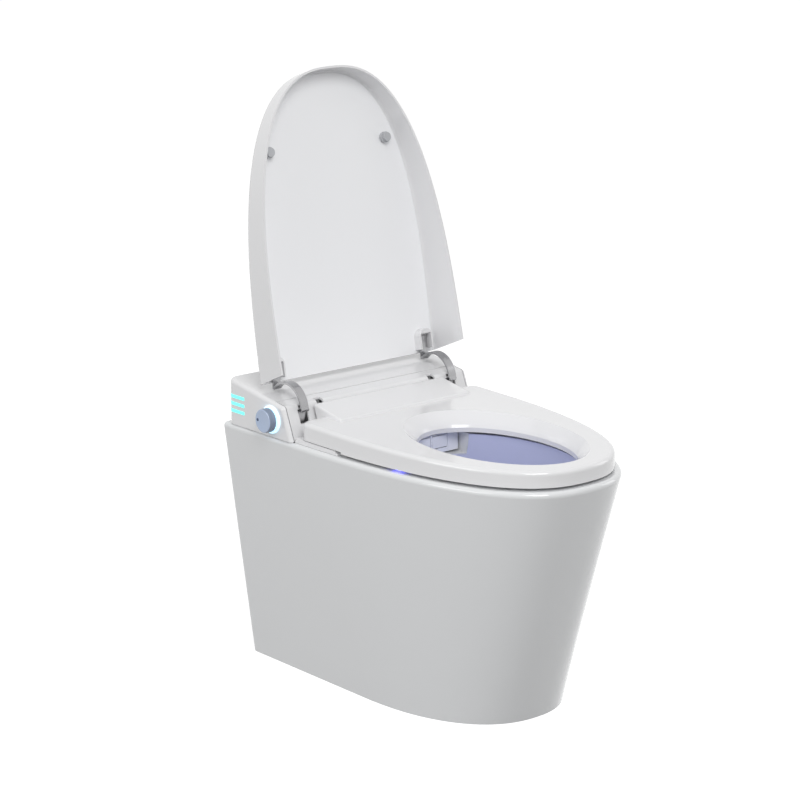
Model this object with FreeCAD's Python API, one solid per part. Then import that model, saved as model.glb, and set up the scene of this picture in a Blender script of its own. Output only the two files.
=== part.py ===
"""Floor-standing smart toilet with a heated seat, modelled piece by piece.

Frame: millimetres, +Z up, the front of the bowl towards -Y, the control knob on -X.
The origin is on the floor, in the plane of symmetry, midway along the ceramic's length.
The rest position is the photographed one: lid open, seat down.
"""
import FreeCAD
import Part
import os
import math

V = FreeCAD.Vector
HIGH = 900.0               # above everything, for cutting blocks
X_AXIS = V(1, 0, 0)
Y_AXIS = V(0, 1, 0)
Z_AXIS = V(0, 0, 1)

# ---------------------------------------------------------------- ceramic body
DECK_Z = 401.0            # height of the flat ceramic rim and deck
TOP_HALF_W = 195.4        # half width of the ceramic at the deck
TOP_FRONT = 329.6         # reach of the deck towards the front
TOP_REAR = 332.0          # rear face at the deck
TOP_SHOULDER_Y = 150.0    # where the round front of the deck begins
TOP_ROUND = 2.55          # roundness of the deck's front, 2 is an ellipse
FOOT_HALF_W = 150.5       # half width on the floor
FOOT_FRONT = 215.0        # reach on the floor towards the front
FOOT_REAR = 315.5         # rear face on the floor
FOOT_SHOULDER_Y = 28.0
FOOT_ROUND = 2.31
BODY_CORNER_R = 8.0       # upright rear corners
RIM_EDGE_R = 7.0          # rounding of the deck's outer edge
SKIRT_WALL = 13.0         # wall of the ceramic skirt
DECK_THICK = 24.0         # thickness of the deck
BOWL_SHELL = 10.0         # wall of the bowl
BOWL_Y = -118.0           # centre of the bowl's mouth
BOWL_MOUTH = (104.0, 153.0)
# Rows of the bowl: taken off each half axis, shift of the centre, depth under the deck.
BOWL_ROWS = ((0.0, 0.0, 0.0, -1.0), (1.0, 3.0, 0.0, 22.0), (8.0, 15.0, 2.0, 72.0),
             (28.0, 43.0, 13.0, 142.0), (54.0, 86.0, 28.0, 202.0), (68.0, 111.0, 38.0, 238.0),
             (74.0, 119.0, 38.0, 260.0))
REAR_DOOR_HALF_W = TOP_HALF_W - 65.4   # service opening in the rear wall
REAR_DOOR_TOP = DECK_Z - 49.0
OUTLET_Y = 23.0           # outlet centre, 305 mm from the rear face
OUTLET_R = 38.0           # bore of the waste outlet
TRAP_R = 27.0             # bore of the trapway
TRAP_WALL = 8.0
TRAP_BEND_R = 44.0
OUTLET_SLEEVE_H = 62.0
SEAL_TOP_Z = 12.0         # gap left under the outlet sleeve for the seal
BOLT_X = 40.0             # bolts that clamp the chassis to the deck
BOLT_Y = 212.0
BOLT_R = 4.0
INLET_X = TOP_HALF_W - 91.4    # water inlet elbow under the deck
INLET_Y = TOP_REAR - 50.0
INLET_Z = DECK_Z - 79.0
INLET_THREAD_R = 10.4     # half-inch pipe thread
INLET_BORE_R = 7.0
INLET_COLLAR_R = 14.0     # collar that the hose nut seats on
INLET_COLLAR_Y = TOP_REAR - 35.0
INLET_END_Y = TOP_REAR - 14.0

# ---------------------------------------------------------------- hinge line
PIVOT_Y = 203.0           # common axis of lid and seat, inside the housing
PIVOT_Z = DECK_Z + 43.0
LID_OPEN_DEG = 103.6      # from closed to the photographed open position
SHAFT_R = 4.0
SHAFT_HALF_L = TOP_HALF_W - 18.4
SHAFT_FIT = 0.05          # running clearance of a hub on the shaft, radial
HUB_R = 9.0

# ---------------------------------------------------------------- seat
SEAT_HALF_W = TOP_HALF_W - 10.8
SEAT_FRONT = 317.5
SEAT_REAR_Y = 142.0
SEAT_SHOULDER_Y = 96.0
SEAT_ROUND = 2.42
SEAT_CORNER_R = 17.0
SEAT_BOTTOM_Z = DECK_Z + 4.6
SEAT_SPLIT_Z = DECK_Z + 10.5      # joint between the seat's two shells
SEAT_TOP_FRONT_Z = DECK_Z + 29.6  # top plane at the front tip
SEAT_TOP_REAR_Z = DECK_Z + 36.4   # top plane at the rear shoulder
SEAT_BLANK_Z = DECK_Z + 69.0   # top of the blocks that the seat is cut from
SEAT_EDGE_R = 7.0
SEAT_WALL = 3.6
SEAT_HOLE = (98.9, 149.7) # opening at its narrowest
SEAT_HOLE_Y = -118.0
SEAT_HOLE_Z = DECK_Z + 12.0
SEAT_FOOT_R = 8.0         # rubber feet under the seat
SEAT_FEET = ((95.0, -247.0), (150.0, 18.0))
SEAT_FOOT_GAP = 0.35      # left between the feet and the ceramic
SEAT_DISH = 17.0          # how much wider the opening is at the top
SEAT_REAR_LIFT = 3.4      # underside raised over the chassis nose
HEATER_THICK = 0.6
PAD_HALF_W = TOP_HALF_W - 58.9   # raised pad between the hinge arms
PAD_CREASE_Y = 98.0
PAD_CREASE_Z = DECK_Z + 40.0
PAD_REAR_Y = 168.3
PAD_REAR_Z = DECK_Z + 52.6
PAD_REAR_FOOT_Y = 158.0
PAD_FOOT_Z = DECK_Z + 27.0
PAD_EDGE_R = 3.0

# ---------------------------------------------------------------- lid, sized in its closed position
LID_HALF_W = TOP_HALF_W - 3.2
LID_FRONT = 325.6
LID_SHOULDER_Y = 130.0
LID_ROUND = 2.62
LID_RIM_Z = DECK_Z + 1.6
LID_FLARE = 0.085         # inward lean of the skirt per mm of height
LID_REAR_FOOT_Y = 148.6   # rear end of the skirt at the rim
LID_REAR_TOP_Y = 163.0    # rear end at the top
LID_TOP_REAR_Z = DECK_Z + 78.0
LID_TOP_FRONT_Z = DECK_Z + 39.5
LID_EDGE_R = 14.0
LID_BLANK_Y = 260.0       # rear end of the lid's blank before the slanted cut
LID_BLANK_R = 20.0
LID_WALL = 3.4
LID_PANEL_THICK = 3.0
LID_PANEL_GAP = 0.4
LID_BUMPER_X = 121.0
LID_BUMPER_Y = -202.0
LID_BUMPER_R = 9.0

# ---------------------------------------------------------------- hinge arms of the lid
ARM_X = TOP_HALF_W - 38.9
ARM_W = 17.0
ARM_R_IN = 38.0           # inner radius of the arm about the pivot
ARM_THICK = 3.4
ARM_END_DEG = 175.0       # front end at rest, from the rear horizontal
ARM_START_DEG = 39.0      # rear end, where the arc runs into the flat tab
ARM_CURL_R = 4.2
ARM_CURL_RISE = 0.1       # curl centre outside the arm's inner radius
ARM_WEB_W = 11.0
ARM_WEB_H = 6.0
BOSS_W = 27.0
BOSS_LENGTH = 34.0
BOSS_DEPTH = 15.5
BOSS_FLOOR = 3.0
BOSS_REAR_Y = 156.0

# ---------------------------------------------------------------- hinge lugs of the seat
LUG_X = TOP_HALF_W - 77.4
LUG_W = 12.0
LUG_R_IN = 26.0
LUG_R_OUT = 34.0
LUG_SPOKE_DEG = 262.0
LUG_TOP_DEG = 176.0
ARM_SLOT_FOOT = 24.5      # heights over the deck of the arm slots' lower ends,
ARM_SLOT_TOP = 46.5       # of their full width's upper ends
WEB_SLOT_TOP = 52.2       # and of the narrow parts that the webs stand in
LUG_SLOT_FOOT = 34.0
LUG_SLOT_REAR_Y = PIVOT_Y - 19.5
SLOT_PLAY = 0.8           # side clearance of arms and lugs in their slots
ARM_PIT_PLAY = 0.8        # and of the arms over the chassis

# ---------------------------------------------------------------- housing
HOUSE_HALF_W = TOP_HALF_W - 2.0
HOUSE_REAR_Y = 319.5
HOUSE_REAR_CORNER_R = 17.0
HOUSE_WALL = 3.2
HOUSE_SEAM_GAP = 0.4      # shadow gap over the ceramic
HOUSE_FOOT_Y = 151.0      # front face at the deck
HOUSE_BROW_Y = 173.0      # front upper edge
HOUSE_BROW_Z = DECK_Z + 54.0
HOUSE_SEAM_Y = 196.0      # joint between the brow and the top cover
HOUSE_REAR_Z = DECK_Z + 77.5
HOUSE_EDGE_R = 7.0
BROW_HALF_W = HOUSE_HALF_W - 7.4
BROW_GAP = 1.6
CHASSIS_THICK = 3.2
CHASSIS_INSET = 9.4
NOSE_FRONT_Y = 47.0
NOSE_THICK = 6.4
CHASSIS_Z = DECK_Z + HOUSE_SEAM_GAP
CHASSIS_TOP_Z = CHASSIS_Z + CHASSIS_THICK
GLAND_X = HOUSE_HALF_W - 43.4           # cord gland in the rear wall
GLAND_Z = DECK_Z + 23.0
GLAND_R = 9.0
GLAND_BORE_R = 3.6
REAR_SCREW_X = 112.0
REAR_SCREW_Z = DECK_Z + 11.0
DAMPER_R = 12.0
LID_DAMPER_X = (ARM_X + 6.8, ARM_X + 15.0)   # from and to, on each side
SEAT_DAMPER_X = (LUG_X - 35.0, LUG_X - 7.0)
INNER_POST_X = (LUG_X + 9.6, LUG_X + 13.6)   # posts of the chassis that hold the shaft
OUTER_POST_X = (ARM_X + 16.1, ARM_X + 19.3)

# ---------------------------------------------------------------- controls and lights
KNOB_Y = 202.0
KNOB_Z = DECK_Z + 29.0
KNOB_R = 19.5
KNOB_FACE_X = HOUSE_HALF_W + 18.1
KNOB_STROKE = 2.5         # travel when pressed
BEZEL_R_OUT = 22.5
BEZEL_THICK = 2.0
KNOB_GAP = BEZEL_THICK + KNOB_STROKE + 0.2   # between the housing and the knob
SPINDLE_R = 3.0
ENCODER_DEPTH = 8.0       # bushed block behind the wall that guides the spindle
ENCODER_HALF_H = 9.5
ENCODER_HALF_W = 11.0
NIGHT_LIGHT_X = SEAT_HALF_W - 16.6
NIGHT_LIGHT_Y = -80.0
NIGHT_LIGHT = (7.0, 18.0, 1.4)   # width, length and height of the lens
BAR_COUNT = 3
BAR_PITCH = 12.0
BAR_H = 5.0
BAR_TOP_Z = DECK_Z + 50.0
BAR_FRONT_Y = 273.0
BAR_WRAP = 12.0           # how far each bar runs round the rear corner

# ---------------------------------------------------------------- washing unit
NOZZLE_HALF_W = 56.0
NOZZLE_FRONT_Y = 36.0
NOZZLE_REAR_Y = 150.0
NOZZLE_BOTTOM_Z = DECK_Z - 29.0
NOZZLE_TOP_Z = DECK_Z + 2.0
NOZZLE_WALL = 2.2
RAIL_HALF_W = 59.7        # side rails that hang the case in the chassis
WAND_X = 18.0
WAND_R = 6.0
WAND_TILT_DEG = 6.0
WAND_TIP_Z = DECK_Z - 13.0
WAND_LENGTH = 100.0
WAND_BORE_FIT = 0.08
WAND_CAP = (31.0, 19.5, 2.4)   # width, height and thickness of a wand's front cap
WAND_TIP_Y = NOZZLE_FRONT_Y + 3.4
WAND_CAP_TOP_Z = NOZZLE_TOP_Z - 3.0
SPRAY_HOLES = (10.0, 15.0, 20.0)   # distances of the spray holes from a wand's tip
SPRAY_HOLE_R = 0.9
MOTOR_X = 24.0
MOTOR_Y = 178.0
MOTOR_R = 9.8
MOTOR_LENGTH = 16.0

# ---------------------------------------------------------------- inner units on the chassis
UNIT_Z = CHASSIS_TOP_Z + 0.3
TANK = (-54.0, 62.0, 228.0, 306.0, 42.0)   # x and y limits, height
SUPPLY = (84.0, 176.0, 232.0, 288.0, 34.0)
BLOWER_X = -95.0
BLOWER_Y = 270.0
BLOWER_R = 33.0
BLOWER_H = 30.0
BLOWER_WHEEL_R = 25.0
SCENT_X = -157.0          # odour fan
SCENT_Y = 254.0
SCENT_R = 20.0
CARTRIDGE = (-176.0, -134.0, 277.0, 303.0, 22.0)   # x and y limits, height
SOLENOID = (64.0, 22.0, 178.0, 8.8)        # start x, length, y and radius of the valve
COIL = (70.0, 82.0, 169.5, 186.5, 24.0)    # x and y limits, height
FLUSH_VALVE = (-86.0, 240.0, 28.0, 64.0)   # x, y, radius and height, hung under the deck
FLUSH_PUMP = (84.0, 241.0, 24.0, 80.0)
DECK_PLAY = 0.3            # gap between the deck and what hangs under it
DUCT_START = 13.0         # the duct begins behind the wall of the brow
DUCT_W = 20.0
DUCT_H = 18.0


def box(x0, x1, y0, y1, z0, z1):
    """Box between two corners."""
    return Part.makeBox(x1 - x0, y1 - y0, z1 - z0, V(x0, y0, z0))


def rod(radius, start, axis, length):
    """Solid cylinder from a point along an axis; a negative length runs the other way."""
    if length < 0:
        return Part.makeCylinder(radius, -length, start, axis * -1)
    return Part.makeCylinder(radius, length, start, axis)


def ring(r_out, r_in, start, axis, length):
    """Tube from a point along an axis."""
    return rod(r_out, start, axis, length).cut(rod(r_in, start, axis, length))


def side_prism(points, x0, x1):
    """Polygon of (y, z) points, extruded from x0 to x1."""
    corners = [V(x0, y, z) for y, z in points]
    face = Part.Face(Part.makePolygon(corners + corners[:1]))
    return face.extrude(V(x1 - x0, 0, 0))


def rounded(shape, radius, chosen):
    """Fillet of the edges that the test picks."""
    return shape.makeFillet(radius, [e for e in shape.Edges if chosen(e)])


def edge_mid(edge):
    """Middle point of an edge."""
    return edge.valueAt((edge.FirstParameter + edge.LastParameter) / 2)


def u_wire(half_w, front, shoulder, roundness, rear, corner, z):
    """Closed plan outline: round front, straight sides, square rear with round corners."""
    steps = 32
    nose = []
    for i in range(steps + 1):
        t = math.pi * i / steps
        c = math.cos(t)
        x = math.copysign(half_w * abs(c) ** (2 / roundness), c)
        y = shoulder - (shoulder + front) * abs(math.sin(t)) ** (2 / roundness)
        nose.append(V(x, y, z))
    nose[0] = V(half_w, shoulder, z)
    nose[-1] = V(-half_w, shoulder, z)
    curve = Part.BSplineCurve()
    curve.interpolate(Points=nose, InitialTangent=V(0, -1, 0), FinalTangent=V(0, 1, 0))
    c45 = corner * (1 - math.cos(math.radians(45)))
    left = [V(-half_w, shoulder, z), V(-half_w, rear - corner, z),
            V(-half_w + c45, rear - c45, z), V(-half_w + corner, rear, z)]
    right = [V(-p.x, p.y, p.z) for p in left]
    edges = [curve.toShape(), Part.LineSegment(left[0], left[1]).toShape(),
             Part.Arc(left[1], left[2], left[3]).toShape(),
             Part.LineSegment(left[3], right[3]).toShape(),
             Part.Arc(right[3], right[2], right[1]).toShape(),
             Part.LineSegment(right[1], right[0]).toShape()]
    return Part.Wire(edges)


def u_prism(half_w, front, shoulder, roundness, rear, corner, z0, z1):
    """Upright solid on a plan outline."""
    wire = u_wire(half_w, front, shoulder, roundness, rear, corner, z0)
    return Part.Face(wire).extrude(V(0, 0, z1 - z0))


def oval_wire(semi_x, semi_y, centre_y, z):
    """Ellipse, longer along Y."""
    return Part.Wire(Part.Ellipse(V(0, centre_y + semi_y, z), V(semi_x, centre_y, z),
                                  V(0, centre_y, z)).toShape())


def tube_along(points, radius, bend):
    """Round bar along straight runs joined by tangent arcs of one radius."""
    edges = []
    start = points[0]
    for i in range(1, len(points) - 1):
        before = (points[i] - points[i - 1]).normalize()
        after = (points[i + 1] - points[i]).normalize()
        turn = math.acos(before.dot(after))
        setback = bend * math.tan(turn / 2)
        a = points[i] - before * setback
        b = points[i] + after * setback
        inward = (after - before).normalize()
        centre = points[i] + inward * (bend / math.cos(turn / 2))
        edges.append(Part.LineSegment(start, a).toShape())
        edges.append(Part.Arc(a, centre - inward * bend, b).toShape())
        start = b
    edges.append(Part.LineSegment(start, points[-1]).toShape())
    first = (points[1] - points[0]).normalize()
    profile = Part.Wire(Part.Circle(points[0], first, radius).toShape())
    return Part.Wire(edges).makePipeShell([profile], True, False)


def about_pivot(shape, degrees):
    """Copy of a shape turned about the hinge axis; positive turns the front downwards."""
    turned = shape.copy()
    turned.rotate(V(0, PIVOT_Y, PIVOT_Z), X_AXIS, degrees)
    return turned


def polar(radius, degrees):
    """Point (y, z) at a radius and an angle about the pivot, from the rear horizontal."""
    a = math.radians(degrees)
    return PIVOT_Y + radius * math.cos(a), PIVOT_Z + radius * math.sin(a)


def band(r_in, r_out, deg0, deg1, x0, x1):
    """Curved strip about the pivot between two angles."""
    a = [V(x0, *polar(r_in, d)) for d in (deg0, (deg0 + deg1) / 2, deg1)]
    b = [V(x0, *polar(r_out, d)) for d in (deg0, (deg0 + deg1) / 2, deg1)]
    edges = [Part.Arc(a[0], a[1], a[2]).toShape(), Part.LineSegment(a[2], b[2]).toShape(),
             Part.Arc(b[2], b[1], b[0]).toShape(), Part.LineSegment(b[0], a[0]).toShape()]
    return Part.Face(Part.Wire(edges)).extrude(V(x1 - x0, 0, 0))


def spoke(r0, r1, degrees, thick, x0, x1):
    """Straight web from radius r0 to r1 at one angle about the pivot."""
    flat = box(x0, x1, PIVOT_Y + r0, PIVOT_Y + r1, PIVOT_Z - thick / 2, PIVOT_Z + thick / 2)
    return about_pivot(flat, degrees)


def pivot_rod(radius, x0, x1):
    """Cylinder on the hinge axis from x0 to x1."""
    return rod(radius, V(x0, PIVOT_Y, PIVOT_Z), X_AXIS, x1 - x0)


# ================================================================ ceramic body
def skirt_form(inset, foot_z):
    """Tapered outer form of the ceramic, drawn in by an inset."""
    foot = u_wire(FOOT_HALF_W - inset, FOOT_FRONT - inset, FOOT_SHOULDER_Y, FOOT_ROUND,
                  FOOT_REAR - inset, BODY_CORNER_R, foot_z)
    deck = u_wire(TOP_HALF_W - inset, TOP_FRONT - inset, TOP_SHOULDER_Y, TOP_ROUND,
                  TOP_REAR - inset, BODY_CORNER_R, DECK_Z)
    return Part.makeLoft([foot, deck], True, False)


def bowl_form(grow):
    """Inside of the bowl from its mouth down to the sump, or its outside when grown."""
    a, b = BOWL_MOUTH
    wires = []
    for off_x, off_y, shift, depth in BOWL_ROWS:
        low = grow if depth == BOWL_ROWS[-1][3] else 0
        wires.append(oval_wire(a - off_x + grow, b - off_y + grow, BOWL_Y + shift, DECK_Z - depth - low))
    return Part.makeLoft(wires, True, False)


def trap_route():
    """Centre line of the trapway, from the sump over the weir to the floor outlet."""
    return [V(0, BOWL_Y + 38, DECK_Z - 229), V(0, 20, DECK_Z - 244), V(0, 118, DECK_Z - 139),
            V(0, 140, 100), V(0, OUTLET_Y, 88), V(0, OUTLET_Y, 30)]


def nozzle_recess(grow):
    """Pocket in the deck behind the bowl's mouth that takes the washing unit."""
    return box(-NOZZLE_HALF_W - 3 - grow, NOZZLE_HALF_W + 3 + grow, 10, NOZZLE_REAR_Y + 4 + grow,
               NOZZLE_BOTTOM_Z - 4 - grow, DECK_Z + 2)


def ceramic_body():
    """Hollow skirted body with bowl, trapway, outlet sleeve and service opening."""
    body = rounded(skirt_form(0, 0), RIM_EDGE_R, lambda e: edge_mid(e).z > DECK_Z - 0.01)
    under_top = DECK_Z - DECK_THICK
    hollow = skirt_form(SKIRT_WALL, -6).common(box(-300, 300, -400, 400, -6, under_top))
    sleeve = rod(OUTLET_R + TRAP_WALL, V(0, OUTLET_Y, SEAL_TOP_Z), Z_AXIS, OUTLET_SLEEVE_H)
    route = trap_route()
    kept = bowl_form(BOWL_SHELL).fuse(tube_along(route, TRAP_R + TRAP_WALL, TRAP_BEND_R))
    kept = kept.fuse(sleeve).fuse(nozzle_recess(BOWL_SHELL))
    body = body.cut(hollow.cut(kept))
    body = body.cut(bowl_form(0)).cut(tube_along(route, TRAP_R, TRAP_BEND_R))
    body = body.cut(rod(OUTLET_R, V(0, OUTLET_Y, -1), Z_AXIS, OUTLET_SLEEVE_H - 12))
    body = body.cut(nozzle_recess(0))
    body = body.cut(box(-REAR_DOOR_HALF_W, REAR_DOOR_HALF_W, FOOT_REAR - 26, TOP_REAR + 20,
                        -1, REAR_DOOR_TOP))
    for x in (-BOLT_X, BOLT_X):
        body = body.cut(rod(BOLT_R + 1.0, V(x, BOLT_Y, under_top - 5), Z_AXIS, DECK_THICK + 10))
    return body


def outlet_seal():
    """Rubber ring between the outlet sleeve and the drain."""
    return ring(OUTLET_R + 20, OUTLET_R + 1, V(0, OUTLET_Y, 0.6), Z_AXIS, SEAL_TOP_Z - 0.9)


# ================================================================ chassis and housing
def house_top_z(y):
    """Height of the housing's outer top plane."""
    return HOUSE_BROW_Z + (y - HOUSE_BROW_Y) * (HOUSE_REAR_Z - HOUSE_BROW_Z) / (HOUSE_REAR_Y - HOUSE_BROW_Y)


def house_form(inset):
    """Outer form of the housing, or its hollow when drawn in."""
    base = DECK_Z + HOUSE_SEAM_GAP - (20 if inset else 0)
    lean = (HOUSE_BROW_Y - HOUSE_FOOT_Y) / (HOUSE_BROW_Z - DECK_Z - HOUSE_SEAM_GAP)
    top = HOUSE_BROW_Z - inset * 1.03
    foot_y = HOUSE_FOOT_Y + inset * 1.08 - (20 * lean if inset else 0)
    brow_y = HOUSE_BROW_Y + inset * 0.72
    rear = HOUSE_REAR_Y - inset
    half = HOUSE_HALF_W - inset
    solid = side_prism([(foot_y, base), (brow_y, top), (rear, HOUSE_REAR_Z - inset * 1.03), (rear, base)],
                       -half, half)
    solid = rounded(solid, HOUSE_REAR_CORNER_R - inset,
                    lambda e: abs(edge_mid(e).y - rear) < 0.01 and abs(abs(edge_mid(e).x) - half) < 0.01)
    return rounded(solid, HOUSE_EDGE_R - inset * 0.9,
                   lambda e: edge_mid(e).z > top - 0.01 or
                   (abs(abs(edge_mid(e).x) - half) < 0.01 and edge_mid(e).y < (foot_y + brow_y) / 2 + 1
                    and edge_mid(e).z > base + 1))


def house_shell():
    """Thin wall of the whole housing, open below."""
    return house_form(0).cut(house_form(HOUSE_WALL))


def brow_zone(gap):
    """Space of the brow, the strip of housing in front of the top seam."""
    return box(-BROW_HALF_W - gap, BROW_HALF_W + gap, 100, HOUSE_SEAM_Y + gap, DECK_Z - 5, HIGH)


def arm_slot(side):
    """Slot for one hinge arm of the lid, through the front of the brow and narrow at its top."""
    x = side * ARM_X
    half = ARM_W / 2 + SLOT_PLAY
    wide = box(x - half, x + half, 100, HOUSE_SEAM_Y + 1, DECK_Z + ARM_SLOT_FOOT, DECK_Z + ARM_SLOT_TOP)
    half = ARM_WEB_W / 2 + SLOT_PLAY
    return wide.fuse(box(x - half, x + half, 100, HOUSE_SEAM_Y + 1, DECK_Z + ARM_SLOT_FOOT,
                         DECK_Z + WEB_SLOT_TOP))


def lug_slot(side):
    """Slot for one hinge lug of the seat, through the upper part of the brow."""
    x = side * LUG_X
    half = LUG_W / 2 + SLOT_PLAY
    return box(x - half, x + half, 100, LUG_SLOT_REAR_Y, DECK_Z + LUG_SLOT_FOOT, HIGH)


def brow():
    """Front strip of the housing with the slots of arms and lugs."""
    piece = house_shell().common(brow_zone(0))
    piece = piece.cut(box(-300, 300, 100, 300, 300, CHASSIS_TOP_Z + 0.3))
    for side in (-1, 1):
        piece = piece.cut(arm_slot(side)).cut(lug_slot(side))
    x1 = BLOWER_X + BLOWER_R
    vent = box(x1 - DUCT_W + 2, x1 - 2, HOUSE_FOOT_Y - 5, HOUSE_FOOT_Y + 20,
               UNIT_Z + 2, UNIT_Z + DUCT_H - 2)
    return piece.cut(vent)


def bar_zone(index, grow, depth):
    """Band of the housing's left wall that holds one light bar."""
    top = BAR_TOP_Z - index * BAR_PITCH + grow
    outer = plan_block(0.45)
    inner = plan_block(-depth)
    cut = box(-300, -100, BAR_FRONT_Y - grow, HOUSE_REAR_Y - HOUSE_REAR_CORNER_R + BAR_WRAP + grow,
              top - BAR_H - 2 * grow, top)
    return outer.cut(inner).common(cut)


def plan_block(grow):
    """Upright block on the housing's plan outline."""
    half = HOUSE_HALF_W + grow
    rear = HOUSE_REAR_Y + grow
    block = box(-half, half, 150, rear, DECK_Z, DECK_Z + 99)
    return rounded(block, HOUSE_REAR_CORNER_R + grow,
                   lambda e: abs(edge_mid(e).y - rear) < 0.01 and abs(abs(edge_mid(e).x) - half) < 0.01)


def top_cover():
    """Main housing shell with openings for knob, light bars, gland and rear screws."""
    shell = house_shell().cut(brow_zone(BROW_GAP))
    shell = shell.cut(rod(SPINDLE_R + 1.2, V(-HOUSE_HALF_W - 5, KNOB_Y, KNOB_Z), X_AXIS, 20))
    for index in range(BAR_COUNT):
        shell = shell.cut(bar_zone(index, 0.2, 1.9))
    shell = shell.cut(rod(GLAND_R + 0.2, V(GLAND_X, HOUSE_REAR_Y - 12, GLAND_Z), Y_AXIS, 20))
    for x in (-REAR_SCREW_X, REAR_SCREW_X):
        shell = shell.cut(rod(2.2, V(x, HOUSE_REAR_Y - 12, REAR_SCREW_Z), Y_AXIS, 20))
    return shell


def hinge_post(x0, x1):
    """Upright web of the chassis that carries the hinge shaft."""
    web = side_prism([(PIVOT_Y - 13, CHASSIS_TOP_Z - 1), (PIVOT_Y + 13, CHASSIS_TOP_Z - 1),
                      (PIVOT_Y + 8, PIVOT_Z), (PIVOT_Y - 8, PIVOT_Z)], x0, x1)
    return web.fuse(pivot_rod(8.0, x0, x1)).cut(pivot_rod(SHAFT_R + SHAFT_FIT, x0 - 1, x1 + 1))


def damper_cradle(x0, x1):
    """Block of the chassis that a damper rests on."""
    block = box(x0, x1, PIVOT_Y - 8, PIVOT_Y + 8, CHASSIS_TOP_Z - 1, PIVOT_Z - 6)
    return block.cut(pivot_rod(DAMPER_R + 0.2, x0 - 1, x1 + 1))


def chassis():
    """Base moulding on the ceramic, with the nose under the seat and the hinge posts."""
    half = TOP_HALF_W - CHASSIS_INSET
    plan = u_prism(half, TOP_FRONT - CHASSIS_INSET, TOP_SHOULDER_Y, TOP_ROUND,
                   HOUSE_REAR_Y - HOUSE_WALL - 0.6, HOUSE_REAR_CORNER_R - HOUSE_WALL,
                   CHASSIS_Z, CHASSIS_Z + NOSE_THICK)
    plate = plan.common(box(-300, 300, NOSE_FRONT_Y, 400, 0, CHASSIS_TOP_Z))
    nose = side_prism([(NOSE_FRONT_Y, CHASSIS_Z), (HOUSE_FOOT_Y - 2.5, CHASSIS_Z),
                       (HOUSE_FOOT_Y - 0.5, CHASSIS_Z + NOSE_THICK),
                       (NOSE_FRONT_Y + 9, CHASSIS_Z + NOSE_THICK)], -half, half)
    base = plate.fuse(plan.common(nose))
    inner_rear = HOUSE_REAR_Y - HOUSE_WALL
    for side in (-1, 1):
        for x0, x1 in (INNER_POST_X, OUTER_POST_X):
            base = base.fuse(hinge_post(min(side * x0, side * x1), max(side * x0, side * x1)))
        for x0, x1 in (LID_DAMPER_X, SEAT_DAMPER_X):
            base = base.fuse(damper_cradle(min(side * x0, side * x1) + 2, max(side * x0, side * x1) - 2))
        half_pit = ARM_W / 2 + ARM_PIT_PLAY
        base = base.cut(box(side * ARM_X - half_pit, side * ARM_X + half_pit,
                            PIVOT_Y - 24, PIVOT_Y + 22, CHASSIS_Z - 5, CHASSIS_TOP_Z + 1))
        base = base.cut(rod(BOLT_R + 0.4, V(side * BOLT_X, BOLT_Y, CHASSIS_Z - 10), Z_AXIS, 30))
        boss = box(side * REAR_SCREW_X - 5, side * REAR_SCREW_X + 5, inner_rear - 14,
                   inner_rear - 0.6, CHASSIS_TOP_Z - 1, REAR_SCREW_Z + 6)
        base = base.fuse(boss)
        base = base.cut(rod(1.6, V(side * REAR_SCREW_X, inner_rear - 11, REAR_SCREW_Z), Y_AXIS, 12))
    return base.cut(box(-NOZZLE_HALF_W - 4, NOZZLE_HALF_W + 4, 0, NOZZLE_REAR_Y + 4,
                        CHASSIS_Z - 10, DECK_Z + 20))


def chassis_bolts():
    """Two bolts with nuts that clamp the chassis to the deck."""
    solids = []
    for x in (-BOLT_X, BOLT_X):
        head = rod(6.5, V(x, BOLT_Y, CHASSIS_TOP_Z), Z_AXIS, 5)
        shank = rod(BOLT_R, V(x, BOLT_Y, CHASSIS_TOP_Z + 1), Z_AXIS, -(CHASSIS_THICK + DECK_THICK + 12))
        nut = rod(8.5, V(x, BOLT_Y, DECK_Z - DECK_THICK), Z_AXIS, -6.5)
        solids.append(head.fuse(shank).fuse(nut))
    return Part.makeCompound(solids)


def rear_screws():
    """Two screws that hold the top cover to the chassis from behind."""
    solids = []
    for x in (-REAR_SCREW_X, REAR_SCREW_X):
        head = rod(3.8, V(x, HOUSE_REAR_Y, REAR_SCREW_Z), Y_AXIS, 2)
        solids.append(head.fuse(rod(1.5, V(x, HOUSE_REAR_Y - 12, REAR_SCREW_Z), Y_AXIS, 13)))
    return Part.makeCompound(solids)


def power_gland():
    """Cord gland in the rear wall, with the bore that the mains lead enters."""
    body = ring(GLAND_R, GLAND_BORE_R, V(GLAND_X, HOUSE_REAR_Y - 9, GLAND_Z), Y_AXIS, 14)
    flange = ring(GLAND_R + 3, GLAND_BORE_R, V(GLAND_X, HOUSE_REAR_Y, GLAND_Z), Y_AXIS, 2.4)
    return body.fuse(flange)


def hinge_shaft():
    """Steel shaft shared by the hubs of lid and seat."""
    return pivot_rod(SHAFT_R, -SHAFT_HALF_L, SHAFT_HALF_L)


def damper(x0, x1, side):
    """Rotary soft-close damper round the shaft, with its flats."""
    a = min(side * x0, side * x1)
    b = max(side * x0, side * x1)
    body = pivot_rod(DAMPER_R, a, b).cut(pivot_rod(SHAFT_R + SHAFT_FIT, a - 1, b + 1))
    collar = pivot_rod(DAMPER_R + 0.1, a + 6, a + 9).cut(pivot_rod(DAMPER_R - 1, a - 1, b + 1))
    return body.cut(collar)


# ================================================================ seat
def seat_top_z(y):
    """Height of the seat's top plane."""
    run = SEAT_REAR_Y + SEAT_FRONT
    return SEAT_TOP_FRONT_Z + (y + SEAT_FRONT) * (SEAT_TOP_REAR_Z - SEAT_TOP_FRONT_Z) / run


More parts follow.
